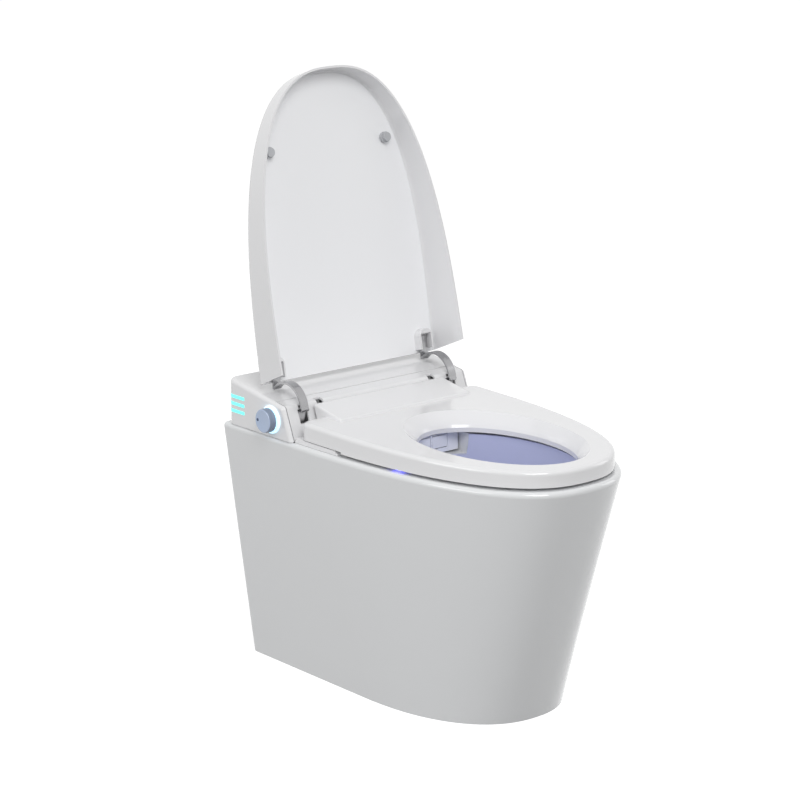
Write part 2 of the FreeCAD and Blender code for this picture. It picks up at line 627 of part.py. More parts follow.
def seat_slab(drop_top, drop_bottom):
    """Sloped layer under the seat's top plane."""
    far = 400.0
    return side_prism([(-far, seat_top_z(-far) - drop_bottom), (far, seat_top_z(far) - drop_bottom),
                       (far, seat_top_z(far) - drop_top), (-far, seat_top_z(-far) - drop_top)], -250, 250)


def seat_prism(inset, z0, z1):
    """Block on the seat's plan outline."""
    return u_prism(SEAT_HALF_W - inset, SEAT_FRONT - inset, SEAT_SHOULDER_Y, SEAT_ROUND,
                   SEAT_REAR_Y - inset, SEAT_CORNER_R - inset, z0, z1)


def seat_hole(grow):
    """Dished opening of the seat, wider at the top."""
    a = SEAT_HOLE[0] + grow
    b = SEAT_HOLE[1] + grow
    rows = [(0, SEAT_BOTTOM_Z - 4), (0, SEAT_HOLE_Z), (SEAT_DISH * 0.25, SEAT_HOLE_Z + 6),
            (SEAT_DISH * 0.62, SEAT_HOLE_Z + 12), (SEAT_DISH, SEAT_HOLE_Z + 17.5),
            (SEAT_DISH * 1.7, SEAT_HOLE_Z + 26)]
    lower = Part.makeLoft([oval_wire(a + d, b + d, SEAT_HOLE_Y, z) for d, z in rows[:2]], True, True)
    upper = Part.makeLoft([oval_wire(a + d, b + d, SEAT_HOLE_Y, z) for d, z in rows[1:]], True, False)
    return lower.fuse(upper)


def pad_form(inset):
    """Raised pad at the rear of the seat, between the hinge arms."""
    rear_lean = (PAD_REAR_Y - PAD_REAR_FOOT_Y) / (PAD_REAR_Z - PAD_FOOT_Z)
    foot = PAD_FOOT_Z - (3 if inset else 0)
    return side_prism([(PAD_CREASE_Y - 4 + inset, foot), (PAD_CREASE_Y + inset, PAD_CREASE_Z - inset),
                       (PAD_REAR_Y - inset, PAD_REAR_Z - inset * 1.02),
                       (PAD_REAR_FOOT_Y - inset - (3 * rear_lean if inset else 0), foot)],
                      -PAD_HALF_W + inset, PAD_HALF_W - inset)


def seat_upper():
    """Upper shell of the seat: side wall, dished ring and raised rear pad."""
    body = seat_prism(0, SEAT_SPLIT_Z, SEAT_BLANK_Z).cut(seat_slab(-80, 0))
    body = rounded(body, SEAT_EDGE_R, lambda e: abs(edge_mid(e).z - seat_top_z(edge_mid(e).y)) < 0.05)
    pad = rounded(pad_form(0), PAD_EDGE_R, lambda e: edge_mid(e).z > PAD_FOOT_Z + 2)
    hollow = seat_prism(SEAT_WALL, SEAT_SPLIT_Z - 1, SEAT_BLANK_Z).cut(seat_slab(-80, SEAT_WALL))
    hollow = hollow.cut(seat_hole(SEAT_WALL))
    under_skin = seat_prism(SEAT_WALL, DECK_Z - 1, DECK_Z + 29).cut(seat_slab(-80, SEAT_WALL))
    shell = body.cut(hollow).fuse(pad.cut(under_skin))
    shell = shell.cut(pad_form(SEAT_WALL).cut(seat_slab(-2, 60)))
    return shell.cut(seat_hole(0))


def seat_lower():
    """Lower shell of the seat, with its rear part clear of the chassis nose."""
    plate = seat_prism(0, SEAT_BOTTOM_Z, SEAT_SPLIT_Z).cut(seat_hole(0))
    return plate.cut(box(-300, 300, NOSE_FRONT_Y - 8, 300,
                         SEAT_BOTTOM_Z - 1, SEAT_BOTTOM_Z + SEAT_REAR_LIFT))


def seat_heater():
    """Heating foil under the top of the seat."""
    sheet = seat_prism(SEAT_WALL + 6, DECK_Z - 1, SEAT_BLANK_Z)
    sheet = sheet.common(seat_slab(SEAT_WALL, SEAT_WALL + HEATER_THICK))
    sheet = sheet.cut(seat_hole(SEAT_WALL + 9))
    return sheet.cut(box(-300, 300, PAD_CREASE_Y - 8, 300, DECK_Z - 20, DECK_Z + 80))


def seat_bumpers():
    """Four rubber feet under the seat."""
    feet = []
    low = DECK_Z + SEAT_FOOT_GAP
    for x, y in SEAT_FEET:
        for side in (-1, 1):
            feet.append(rod(SEAT_FOOT_R, V(side * x, y, low), Z_AXIS, SEAT_BOTTOM_Z - low))
    return Part.makeCompound(feet)


def pad_rear_y(z):
    """Rear face of the pad at a height."""
    return PAD_REAR_FOOT_Y + (z - PAD_FOOT_Z) * (PAD_REAR_Y - PAD_REAR_FOOT_Y) / (PAD_REAR_Z - PAD_FOOT_Z)


def seat_lug(side):
    """Hooked hinge lug from the pad round under the brow to the shaft."""
    x0 = side * LUG_X - LUG_W / 2
    x1 = side * LUG_X + LUG_W / 2
    low = PIVOT_Z - 7
    high = PIVOT_Z + 4
    tab = side_prism([(pad_rear_y(low), low), (PIVOT_Y - LUG_R_OUT + 3, low),
                      (PIVOT_Y - LUG_R_IN, PIVOT_Z), (PIVOT_Y - LUG_R_IN - 1, high),
                      (pad_rear_y(high), high)], x0, x1)
    lug = pivot_rod(HUB_R, x0, x1).fuse(spoke(5, (LUG_R_IN + LUG_R_OUT) / 2, LUG_SPOKE_DEG, 6, x0, x1))
    lug = lug.fuse(band(LUG_R_IN, LUG_R_OUT, LUG_TOP_DEG, LUG_SPOKE_DEG, x0, x1)).fuse(tab)
    return lug.cut(pivot_rod(SHAFT_R + SHAFT_FIT, x0 - 1, x1 + 1))


# ================================================================ lid, drawn closed and then opened
def lid_top_z(y):
    """Height of the lid's outer top plane in the closed position."""
    run = LID_REAR_TOP_Y + LID_FRONT
    return LID_TOP_FRONT_Z + (y + LID_FRONT) * (LID_TOP_REAR_Z - LID_TOP_FRONT_Z) / run


def lid_slab(drop_top, drop_bottom):
    """Sloped layer under the lid's top plane."""
    far = 400.0
    return side_prism([(-far, lid_top_z(-far) - drop_bottom), (far, lid_top_z(far) - drop_bottom),
                       (far, lid_top_z(far) - drop_top), (-far, lid_top_z(-far) - drop_top)], -250, 250)


def lid_form(inset, drop, base_z):
    """Closed lid as a solid: flared skirt, sloped top, slanted rear end."""
    rows = []
    for z in (base_z, LID_TOP_REAR_Z + 21):
        lean = inset + (z - LID_RIM_Z) * LID_FLARE
        rows.append(u_wire(LID_HALF_W - lean, LID_FRONT - lean, LID_SHOULDER_Y, LID_ROUND,
                           LID_BLANK_Y, LID_BLANK_R, z))
    solid = Part.makeLoft(rows, True, False).cut(lid_slab(-120, drop))
    if LID_EDGE_R - inset > 1:
        solid = rounded(solid, LID_EDGE_R - inset,
                        lambda e: abs(edge_mid(e).z - lid_top_z(edge_mid(e).y) + drop) < 0.05
                        and edge_mid(e).y < LID_BLANK_Y - LID_BLANK_R - 10)
    return solid


def lid_rear_cut():
    """Everything behind the slanted rear end of the closed lid."""
    slope = (LID_REAR_TOP_Y - LID_REAR_FOOT_Y) / (LID_TOP_REAR_Z - LID_RIM_Z)
    y_low = LID_REAR_FOOT_Y - 40 * slope
    y_high = LID_REAR_TOP_Y + 60 * slope
    return side_prism([(y_low, LID_RIM_Z - 40), (y_high, LID_TOP_REAR_Z + 60),
                       (420, LID_TOP_REAR_Z + 60), (420, LID_RIM_Z - 40)], -260, 260)


def lid_outer():
    """Outer shell of the lid with its deep skirt."""
    shell = lid_form(0, 0, LID_RIM_Z).cut(lid_form(LID_WALL, LID_WALL, LID_RIM_Z - 8))
    return about_pivot(shell.cut(lid_rear_cut()), -LID_OPEN_DEG)


def lid_panel():
    """Inner panel that lines the top of the lid."""
    drop = LID_WALL
    sheet = lid_form(LID_WALL + LID_PANEL_GAP, drop, LID_RIM_Z).common(lid_slab(drop, drop + LID_PANEL_THICK))
    return about_pivot(sheet.cut(lid_rear_cut()), -LID_OPEN_DEG)


def lid_inside_z(y):
    """Underside of the inner panel in the closed position."""
    return lid_top_z(y) - LID_WALL - LID_PANEL_THICK


def lid_bumper(side):
    """Two-step rubber stop on the inner panel."""
    top = lid_inside_z(LID_BUMPER_Y)
    reach = top - seat_top_z(LID_BUMPER_Y) - 0.5
    puck = rod(LID_BUMPER_R, V(side * LID_BUMPER_X, LID_BUMPER_Y, top - 0.9), Z_AXIS, -reach * 0.55)
    tip = rod(LID_BUMPER_R - 1.6, V(side * LID_BUMPER_X, LID_BUMPER_Y, top - 0.9), Z_AXIS, -reach + 0.9)
    return about_pivot(puck.fuse(tip), -LID_OPEN_DEG)


def boss_blank(side, shrink, y0, y1, depth):
    """Block under the inner panel, in the closed position."""
    half = BOSS_W / 2 - shrink
    x = side * ARM_X
    return side_prism([(y0, lid_inside_z(y0)), (y1, lid_inside_z(y1)),
                       (y1, lid_inside_z(y1) - depth), (y0, lid_inside_z(y0) - depth)], x - half, x + half)


def arm_boss(side):
    """Round-ended boss on the panel that holds one hinge arm."""
    front = BOSS_REAR_Y - BOSS_LENGTH
    block = boss_blank(side, 0, front, BOSS_REAR_Y, BOSS_DEPTH)
    block = rounded(block, BOSS_W / 2 - 0.5,
                    lambda e: abs(edge_mid(e).y - front) < 0.01
                    and abs(abs(edge_mid(e).x - side * ARM_X) - BOSS_W / 2) < 0.01)
    window = boss_blank(side, 3.0, front + 8, BOSS_REAR_Y + 2, BOSS_DEPTH + 1)
    floor = boss_blank(side, -2.0, front - 2, BOSS_REAR_Y + 4, BOSS_FLOOR)
    return about_pivot(block.cut(window.cut(floor)), -LID_OPEN_DEG)


def arm_tab(x0, x1):
    """Flat tab of an arm along the boss's floor, in the closed position."""
    y0 = BOSS_REAR_Y - BOSS_LENGTH + 12
    y1 = PIVOT_Y + ARM_R_IN * math.cos(math.radians(ARM_START_DEG + LID_OPEN_DEG)) - 1.0
    top0 = lid_inside_z(y0) - BOSS_FLOOR - 0.3
    top1 = lid_inside_z(y1) - BOSS_FLOOR - 0.3
    return side_prism([(y0, top0 - ARM_THICK), (y0, top0), (y1, top1), (y1, top1 - ARM_THICK)], x0, x1)


def lid_arm(side):
    """Chrome hinge arm: flat tab in the boss, arc over the brow, curled end and hub."""
    x0 = side * ARM_X - ARM_W / 2 + 1.0
    x1 = side * ARM_X + ARM_W / 2 - 1.0
    strip = band(ARM_R_IN, ARM_R_IN + ARM_THICK, ARM_START_DEG, ARM_END_DEG, x0, x1)
    y, z = polar(ARM_R_IN + ARM_CURL_RISE, ARM_END_DEG)
    curl = rod(ARM_CURL_R, V(x0, y, z), X_AXIS, x1 - x0)
    mid = side * ARM_X
    web = spoke(4, ARM_R_IN - 1, ARM_END_DEG - 1, ARM_WEB_H, mid - ARM_WEB_W / 2, mid + ARM_WEB_W / 2)
    hub = pivot_rod(HUB_R, mid - ARM_WEB_W / 2, mid + ARM_WEB_W / 2)
    tab = about_pivot(arm_tab(x0, x1), -LID_OPEN_DEG)
    arm = strip.fuse(curl).fuse(web).fuse(hub).fuse(tab)
    return arm.cut(pivot_rod(SHAFT_R + SHAFT_FIT, mid - 30, mid + 30))


# ================================================================ knob and lights
def knob_bezel():
    """Light ring on the housing round the knob's foot."""
    return ring(BEZEL_R_OUT, SPINDLE_R + 1.2, V(-HOUSE_HALF_W, KNOB_Y, KNOB_Z), X_AXIS, -BEZEL_THICK)


def knob():
    """Round control knob with a hollow back and a shallow grip chamfer."""
    foot = -HOUSE_HALF_W - KNOB_GAP
    body = rod(KNOB_R, V(foot, KNOB_Y, KNOB_Z), X_AXIS, -(KNOB_FACE_X - HOUSE_HALF_W - KNOB_GAP))
    body = rounded(body, 1.6, lambda e: abs(edge_mid(e).x + KNOB_FACE_X) < 0.01)
    hollow = ring(KNOB_R - 2.4, SPINDLE_R + 3, V(foot, KNOB_Y, KNOB_Z), X_AXIS, -5)
    socket = rod(SPINDLE_R + SHAFT_FIT, V(foot + 1, KNOB_Y, KNOB_Z), X_AXIS, -7)
    index = rod(2.0, V(-KNOB_FACE_X - 1, KNOB_Y + KNOB_R * 0.72, KNOB_Z), X_AXIS, 1.8)
    return body.cut(hollow).cut(socket).cut(index)


def knob_spindle():
    """Spindle that the knob turns on and that slides when it is pressed."""
    outer = -HOUSE_HALF_W - KNOB_GAP - 5.6
    inner = -HOUSE_HALF_W + HOUSE_WALL + 0.1 + ENCODER_DEPTH
    stem = rod(SPINDLE_R, V(outer, KNOB_Y, KNOB_Z), X_AXIS, inner - outer + 1)
    clip = rod(SPINDLE_R + 1.6, V(inner + 0.3, KNOB_Y, KNOB_Z), X_AXIS, 1.2)
    return stem.fuse(clip)


def knob_encoder():
    """Encoder and push switch behind the housing wall; its bore takes the spindle."""
    inner = -HOUSE_HALF_W + HOUSE_WALL
    x0 = inner + 0.1
    block = box(x0, x0 + ENCODER_DEPTH, KNOB_Y - ENCODER_HALF_W, KNOB_Y + ENCODER_HALF_W,
                KNOB_Z - ENCODER_HALF_H, KNOB_Z + ENCODER_HALF_H)
    return block.cut(rod(SPINDLE_R + SHAFT_FIT, V(x0 - 1, KNOB_Y, KNOB_Z), X_AXIS, ENCODER_DEPTH + 2))


def light_bars():
    """Three indicator lenses that wrap the rear left corner."""
    return Part.makeCompound([bar_zone(index, 0, 1.6) for index in range(BAR_COUNT)])


def night_light():
    """Small lens under the left edge of the seat that lights the rim at night."""
    w, length, h = NIGHT_LIGHT
    x = -NIGHT_LIGHT_X
    y = NIGHT_LIGHT_Y
    return box(x - w / 2, x + w / 2, y - length / 2, y + length / 2, SEAT_BOTTOM_Z - h, SEAT_BOTTOM_Z)


# ================================================================ washing unit
def wand_point(along):
    """Point on a wand's axis, measured back from its tip at rest."""
    a = math.radians(WAND_TILT_DEG)
    return WAND_TIP_Y + along * math.cos(a), WAND_TIP_Z + along * math.sin(a)


def wand_axis():
    """Direction in which a wand extends."""
    a = math.radians(WAND_TILT_DEG)
    return V(0, -math.cos(a), -math.sin(a))


def nozzle_housing():
    """Open-fronted case of the washing unit, with two guide bores."""
    case = box(-NOZZLE_HALF_W, NOZZLE_HALF_W, NOZZLE_FRONT_Y, NOZZLE_REAR_Y, NOZZLE_BOTTOM_Z, NOZZLE_TOP_Z)
    for side in (-1, 1):
        x = side * WAND_X
        w, h, t = WAND_CAP
        front = box(x - w / 2 - 0.8, x + w / 2 + 0.8, NOZZLE_FRONT_Y - 1, NOZZLE_FRONT_Y + 30,
                    NOZZLE_TOP_Z - h - 4.4, NOZZLE_TOP_Z - 1.6)
        y, z = wand_point(WAND_LENGTH + 6)
        bore = rod(WAND_R + WAND_BORE_FIT, V(x, y, z), wand_axis(), WAND_LENGTH)
        case = case.cut(front).cut(bore)
    under = box(-NOZZLE_HALF_W + NOZZLE_WALL, NOZZLE_HALF_W - NOZZLE_WALL, NOZZLE_FRONT_Y + 34,
                NOZZLE_REAR_Y - NOZZLE_WALL, NOZZLE_BOTTOM_Z - 1, NOZZLE_BOTTOM_Z + 9)
    case = case.cut(under)
    for side in (-1, 1):
        rail = box(min(side * 50, side * RAIL_HALF_W), max(side * 50, side * RAIL_HALF_W),
                   NOSE_FRONT_Y + 20, NOZZLE_REAR_Y - 10, CHASSIS_Z, NOZZLE_TOP_Z)
        case = case.fuse(rail)
    for z in (WAND_TIP_Z + 3.5, WAND_TIP_Z - 1.5):
        case = case.cut(rod(1.0, V(0, NOZZLE_FRONT_Y - 1, z), Y_AXIS, 2.4))
    return case


def wash_wand(side):
    """Telescopic wash wand with spray holes near its tip."""
    y, z = wand_point(0)
    x = side * WAND_X
    wand = rod(WAND_R, V(x, y, z), wand_axis() * -1, WAND_LENGTH)
    for along in SPRAY_HOLES:
        hole_y, hole_z = wand_point(along)
        wand = wand.cut(rod(SPRAY_HOLE_R, V(x, hole_y, hole_z + 1), Z_AXIS, 8))
    return wand


def wand_cap(side):
    """Front shield fixed to a wand's tip, which closes the case at rest."""
    w, h, t = WAND_CAP
    x = side * WAND_X
    y = WAND_TIP_Y - 0.6
    top = WAND_CAP_TOP_Z
    plate = box(x - w / 2, x + w / 2, y - t, y, top - h, top)
    plate = rounded(plate, 1.2, lambda e: abs(e.Length - t) < 0.01)
    cup = rod(WAND_R + 1.6, V(x, *wand_point(6)), wand_axis(), 7.4)
    cup = cup.cut(rod(WAND_R, V(x, *wand_point(8)), wand_axis(), 8))
    slab = box(x - 12, x + 12, y - t, y + 30, top - h - 6, top + 6)
    return plate.fuse(cup.common(slab))


def wand_motor(side):
    """Stepper motor of one wand, lying on the chassis."""
    half = MOTOR_LENGTH / 2
    middle = V(side * MOTOR_X, MOTOR_Y, CHASSIS_TOP_Z + MOTOR_R + 0.3)
    body = rod(MOTOR_R, middle - X_AXIS * half, X_AXIS, MOTOR_LENGTH)
    return body.fuse(rod(2.0, middle - X_AXIS * (side * half), X_AXIS, -side * 5))


# ================================================================ inner units on the chassis
def heater_tank():
    """Instant water heater with stiffening ribs and two pipe stubs."""
    x0, x1, y0, y1, h = TANK
    body = rounded(box(x0, x1, y0, y1, UNIT_Z, UNIT_Z + h), 6, lambda e: abs(e.Length - h) < 0.01)
    for i in range(4):
        x = x0 + 20 + i * 24
        body = body.fuse(box(x, x + 3, y0 + 4, y1 - 4, UNIT_Z + h - 1, UNIT_Z + h + 1.5))
    for x in (x0 + 14, x1 - 14):
        body = body.fuse(rod(5, V(x, y0 + 2, UNIT_Z + 14), Y_AXIS, -10))
    return body


def main_board():
    """Control board on spacers over the heater, with its larger components."""
    x0, x1, y0, y1, h = TANK
    z = UNIT_Z + h + 3.2
    board = box(x0 + 4, x1 - 4, y0 + 4, y1 - 4, z, z + 1.6)
    for x in (x0 + 10, x1 - 10):
        for y in (y0 + 12, y1 - 12):
            board = board.fuse(rod(2.5, V(x, y, UNIT_Z + h + 0.3), Z_AXIS, 4))
    for x, y, w, d, t in ((-20, 262, 18, 18, 2.5), (18, 280, 30, 10, 7), (30, 250, 12, 16, 5)):
        board = board.fuse(box(x, x + w, y - d / 2, y + d / 2, z + 1, z + 1.6 + t))
    return board


def power_supply():
    """Closed power supply with slotted lid."""
    x0, x1, y0, y1, h = SUPPLY
    body = rounded(box(x0, x1, y0, y1, UNIT_Z, UNIT_Z + h), 3, lambda e: abs(e.Length - h) < 0.01)
    for i in range(7):
        x = x0 + 12 + i * 11
        body = body.cut(box(x, x + 3.5, y0 + 10, y1 - 10, UNIT_Z + h - 2, UNIT_Z + h + 1))
    return body


def blower_housing():
    """Snail housing of the warm-air dryer with its outlet towards the front."""
    centre = V(BLOWER_X, BLOWER_Y, UNIT_Z)
    body = rod(BLOWER_R, centre, Z_AXIS, BLOWER_H)
    snout = box(BLOWER_X + BLOWER_R - 20, BLOWER_X + BLOWER_R, BLOWER_Y - 38, BLOWER_Y, UNIT_Z, UNIT_Z + 22)
    body = body.fuse(snout)
    body = body.cut(rod(BLOWER_WHEEL_R + 3, centre + V(0, 0, 2.5), Z_AXIS, BLOWER_H - 5))
    body = body.cut(rod(15, centre + V(0, 0, BLOWER_H - 4), Z_AXIS, 8))
    inner = box(BLOWER_X + BLOWER_R - 17.5, BLOWER_X + BLOWER_R - 2.5, BLOWER_Y - 40, BLOWER_Y - 4,
                UNIT_Z + 2.5, UNIT_Z + 19.5)
    pin = rod(2.0, centre + V(0, 0, 1), Z_AXIS, BLOWER_H - 8)
    return body.cut(inner).fuse(pin)


def fan_wheel(x, y, radius, z0, height, blades, pin_r):
    """Centrifugal wheel: back plate, hub and curved ring of blades."""
    centre = V(x, y, z0)
    wheel = rod(radius, centre, Z_AXIS, 1.6).fuse(rod(pin_r + 3.5, centre, Z_AXIS, height * 0.6))
    blade = box(x + radius * 0.68, x + radius, y - 0.6, y + 0.6, z0 + 1, z0 + height)
    blade.rotate(V(x + radius * 0.84, y, 0), Z_AXIS, 28)
    vanes = []
    for i in range(blades):
        vane = blade.copy()
        vane.rotate(V(x, y, 0), Z_AXIS, 360.0 * i / blades)
        vanes.append(vane)
    wheel = wheel.fuse(vanes).fuse(ring(radius, radius - 2, centre + V(0, 0, height - 1.5), Z_AXIS, 1.5))
    return wheel.cut(rod(pin_r + SHAFT_FIT, centre - V(0, 0, 1), Z_AXIS, height + 2))


def blower_wheel():
    """Wheel of the dryer fan."""
    return fan_wheel(BLOWER_X, BLOWER_Y, BLOWER_WHEEL_R, UNIT_Z + 4.0, 18.0, 16, 2.0)


def dryer_duct():
    """Duct from the blower under the hinge shaft to the washing unit."""
    x1 = BLOWER_X + BLOWER_R
    x0 = x1 - DUCT_W
    y0 = HOUSE_FOOT_Y + DUCT_START
    duct = box(x0, x1, y0, BLOWER_Y - 38.3, UNIT_Z, UNIT_Z + DUCT_H)
    return duct.cut(box(x0 + 2, x1 - 2, y0 - 1, BLOWER_Y - 30, UNIT_Z + 2, UNIT_Z + DUCT_H - 2))


def deodoriser_case():
    """Case of the small odour fan."""
    centre = V(SCENT_X, SCENT_Y, UNIT_Z)
    body = rod(SCENT_R, centre, Z_AXIS, 24).cut(rod(SCENT_R - 2.5, centre + V(0, 0, 2.5), Z_AXIS, 19))
    body = body.cut(rod(9, centre + V(0, 0, 20), Z_AXIS, 8))
    return body.fuse(rod(1.5, centre + V(0, 0, 1), Z_AXIS, 17))


def deodoriser_wheel():
    """Wheel of the odour fan."""
    return fan_wheel(SCENT_X, SCENT_Y, SCENT_R - 5, UNIT_Z + 4.0, 12.0, 12, 1.5)


def carbon_cartridge():
    """Ribbed carbon cartridge behind the odour fan."""
    x0, x1, y0, y1, h = CARTRIDGE
    body = box(x0, x1, y0, y1, UNIT_Z, UNIT_Z + h)
    for i in range(5):
        x = x0 + 5 + i * 7.5
        body = body.cut(box(x, x + 3, y0 - 1, y1 + 1, UNIT_Z + h - 3, UNIT_Z + h + 1))
    return body


def inlet_solenoid():
    """Water valve with its coil, beside the washing unit."""
    x, length, y, r = SOLENOID
    x0, x1, y0, y1, h = COIL
    body = rod(r, V(x, y, UNIT_Z + r + 0.2), X_AXIS, length)
    coil = rounded(box(x0, x1, y0, y1, UNIT_Z, UNIT_Z + h), 2, lambda e: abs(e.Length - h) < 0.01)
    return body.fuse(coil)


def flush_valve():
    """Jet flush valve hung under the deck."""
    x, y, r, h = FLUSH_VALVE
    top = V(x, y, DECK_Z - DECK_THICK - DECK_PLAY)
    body = rod(r, top, Z_AXIS, -h).fuse(rod(r + 6, top, Z_AXIS, -6))
    return body.fuse(rod(13, top - Z_AXIS * 40, Y_AXIS, -48))


def flush_pump():
    """Booster pump hung under the deck."""
    x, y, r, h = FLUSH_PUMP
    top = V(x, y, DECK_Z - DECK_THICK - DECK_PLAY)
    plate = box(x - 30, x + 30, y - 27, y + 21, top.z - 12, top.z)
    body = plate.fuse(rod(r, top - Z_AXIS * 10, Z_AXIS, 10 - h))
    return body.fuse(rod(9, top - Z_AXIS * (h - 16), Y_AXIS, -42))


def water_inlet():
    """Inlet elbow hung under the deck, its threaded stub facing the service opening."""
    top = DECK_Z - DECK_THICK - DECK_PLAY
    flange = rod(15, V(INLET_X, INLET_Y, top), Z_AXIS, -6)
    riser = rod(9, V(INLET_X, INLET_Y, top), Z_AXIS, INLET_Z - top - 9)
    stub = rod(INLET_THREAD_R, V(INLET_X, INLET_Y, INLET_Z), Y_AXIS, INLET_END_Y - INLET_Y)
    collar = rod(INLET_COLLAR_R, V(INLET_X, INLET_COLLAR_Y, INLET_Z), Y_AXIS, -5)
    body = flange.fuse(riser).fuse(stub).fuse(collar)
    return body.cut(rod(INLET_BORE_R, V(INLET_X, INLET_Y + 2, INLET_Z), Y_AXIS, 60))


# ================================================================ output
def all_nodes():
    """Every separate piece by its node name."""
    nodes = {
        "ceramic_body": ceramic_body(), "outlet_seal": outlet_seal(), "water_inlet": water_inlet(),
        "flush_valve": flush_valve(), "flush_pump": flush_pump(), "chassis": chassis(),
        "chassis_bolts": chassis_bolts(), "top_cover": top_cover(), "housing_brow": brow(),
        "rear_screws": rear_screws(), "power_gland": power_gland(), "light_bars": light_bars(),
        "night_light": night_light(), "knob_bezel": knob_bezel(), "knob": knob(),
        "knob_spindle": knob_spindle(), "knob_encoder": knob_encoder(), "hinge_shaft": hinge_shaft(),
        "seat_upper_shell": seat_upper(), "seat_lower_shell": seat_lower(), "seat_heater": seat_heater(),
        "seat_bumpers": seat_bumpers(), "lid_outer_shell": lid_outer(), "lid_inner_panel": lid_panel(),
        "nozzle_housing": nozzle_housing(), "heater_tank": heater_tank(), "main_board": main_board(),
        "power_supply": power_supply(), "blower_housing": blower_housing(), "blower_wheel": blower_wheel(),
        "dryer_duct": dryer_duct(), "deodoriser_case": deodoriser_case(),
        "deodoriser_wheel": deodoriser_wheel(), "carbon_cartridge": carbon_cartridge(),
        "inlet_solenoid": inlet_solenoid(),
    }
    for name, side in (("left", -1), ("right", 1)):
        nodes["seat_lug_" + name] = seat_lug(side)
        nodes["lid_arm_" + name] = lid_arm(side)
        nodes["arm_boss_" + name] = arm_boss(side)
        nodes["lid_bumper_" + name] = lid_bumper(side)
        nodes["lid_damper_" + name] = damper(*LID_DAMPER_X, side)
        nodes["seat_damper_" + name] = damper(*SEAT_DAMPER_X, side)
        nodes["wash_wand_" + name] = wash_wand(side)
        nodes["wand_cap_" + name] = wand_cap(side)
        nodes["wand_motor_" + name] = wand_motor(side)
    return nodes


os.makedirs("parts", exist_ok=True)
for node, shape in all_nodes().items():
    shape.exportStep("parts/" + node + ".step")
    print(node, "solids", len(shape.Solids), "valid", shape.isValid(), "litres", round(shape.Volume / 1e6, 4))
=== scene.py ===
"""Looks of a floor-standing smart toilet: finishes, small fittings, studio and camera.

Every size is in metres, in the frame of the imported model: +Z up, the bowl's front towards -Y,
the control knob on -X.
"""

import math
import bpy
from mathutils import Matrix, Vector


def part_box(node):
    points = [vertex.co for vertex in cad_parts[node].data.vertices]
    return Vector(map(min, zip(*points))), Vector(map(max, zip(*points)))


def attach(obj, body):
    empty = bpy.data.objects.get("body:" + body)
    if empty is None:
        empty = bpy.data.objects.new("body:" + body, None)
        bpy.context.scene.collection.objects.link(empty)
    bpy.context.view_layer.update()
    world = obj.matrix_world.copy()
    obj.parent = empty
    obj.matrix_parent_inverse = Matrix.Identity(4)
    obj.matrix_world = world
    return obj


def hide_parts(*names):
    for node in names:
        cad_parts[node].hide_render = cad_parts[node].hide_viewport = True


bl_info = {
    "name": "Smart toilet looks",
    "version": (1, 0, 0),
    "blender": (4, 5, 0),
    "location": "View3D > Sidebar > Toilet",
    "description": "Finishes and small fittings of a smart toilet, with its studio",
    "category": "Object",
}

import bmesh
import bpy
from bpy.props import FloatProperty, FloatVectorProperty, PointerProperty
from mathutils import Matrix, Vector

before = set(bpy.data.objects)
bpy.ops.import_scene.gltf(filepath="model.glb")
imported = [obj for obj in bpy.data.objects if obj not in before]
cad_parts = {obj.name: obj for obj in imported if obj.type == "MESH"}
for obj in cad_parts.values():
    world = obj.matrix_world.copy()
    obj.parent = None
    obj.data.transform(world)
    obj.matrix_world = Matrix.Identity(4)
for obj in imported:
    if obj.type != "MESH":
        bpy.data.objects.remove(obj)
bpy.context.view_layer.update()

KNOB_BODY = "knob"
MAIN_BODY = "toilet"
LID_BODY = "lid"
SEAT_BODY = "seat"

HINGE = Vector((0.0, 0.203, 0.444))          # axis of lid and seat, along X
ARM_X = 0.1565                               # middle of each lid arm
LUG_X = 0.118                                # middle of each seat lug
ROLL = Vector((0.0, 0.16495, 0.4473))        # axis of the rolls at the arms' ends
# Painted shade: a dark disc in each roll's end stands for the shade inside the open roll.
ROLL_SHADE_RADIUS = 0.0026                          # radius of a roll's dark inside
COVER_RADII = (0.0320, 0.0335)               # arm slot covers, about the hinge
COVER_ANGLES = (180.0, 214.0)
TOE_RADII = (0.0222, 0.0261)                 # toes of the seat lugs, about the hinge
TOE_ANGLES = (170.0, 205.0)
SLOT_HALF_WIDTH = 0.007
TOE_HALF_WIDTH = 0.006
SLOT_WALL_PLACE = (0.1905, 0.4410)           # y and z of the lug slots' walls
SLOT_WALL_SIZE = (0.0006, 0.0135, 0.0210)
INNER_WALL_GAP = 0.0065                      # from a lug's middle to the wall beside it,
OUTER_WALL_GAP = 0.0070                      # towards the middle and away from it
# The three sizes below place the housing's seam strip: painted shadow, a near-black slice set into the
# gap.
SEAM_SLICE = (0.0004, 0.0012)                # depths of the slice behind the cover's front edge
SEAM_SHIFT = 0.0014                          # its way forward into the gap
SEAM_SHRINK = (0.9975, 1.0, 0.9985, 1.0)     # and its size there, just under the surface
# The oval below marks where the night lamp's blue light is painted into the glaze colour inside the
# bowl.
BOWL_CENTRE_Y = -0.118                       # oval that marks the inside of the bowl
BOWL_HALF_WIDTH = 0.1085
BOWL_HALF_LENGTH = 0.158
BOWL_RIM_Z = 0.33
BOWL_FOOT_SHARE = 0.3                        # width of the oval at the floor, as a share
LAMPS = {                                    # place and size of each lamp
    "key": ((-1.2, -2.5, 3.3), 1.8),
    "side": ((3.0, -1.2, 1.5), 1.6),
    "fill": ((-3.4, 0.3, 2.0), 2.0),
}
# Painted shade: knob faces that look less along X get a darker copy of the face colour.
SHADED_SIDE_STEEPNESS = 0.6                                  # knob faces that look less along X are its side


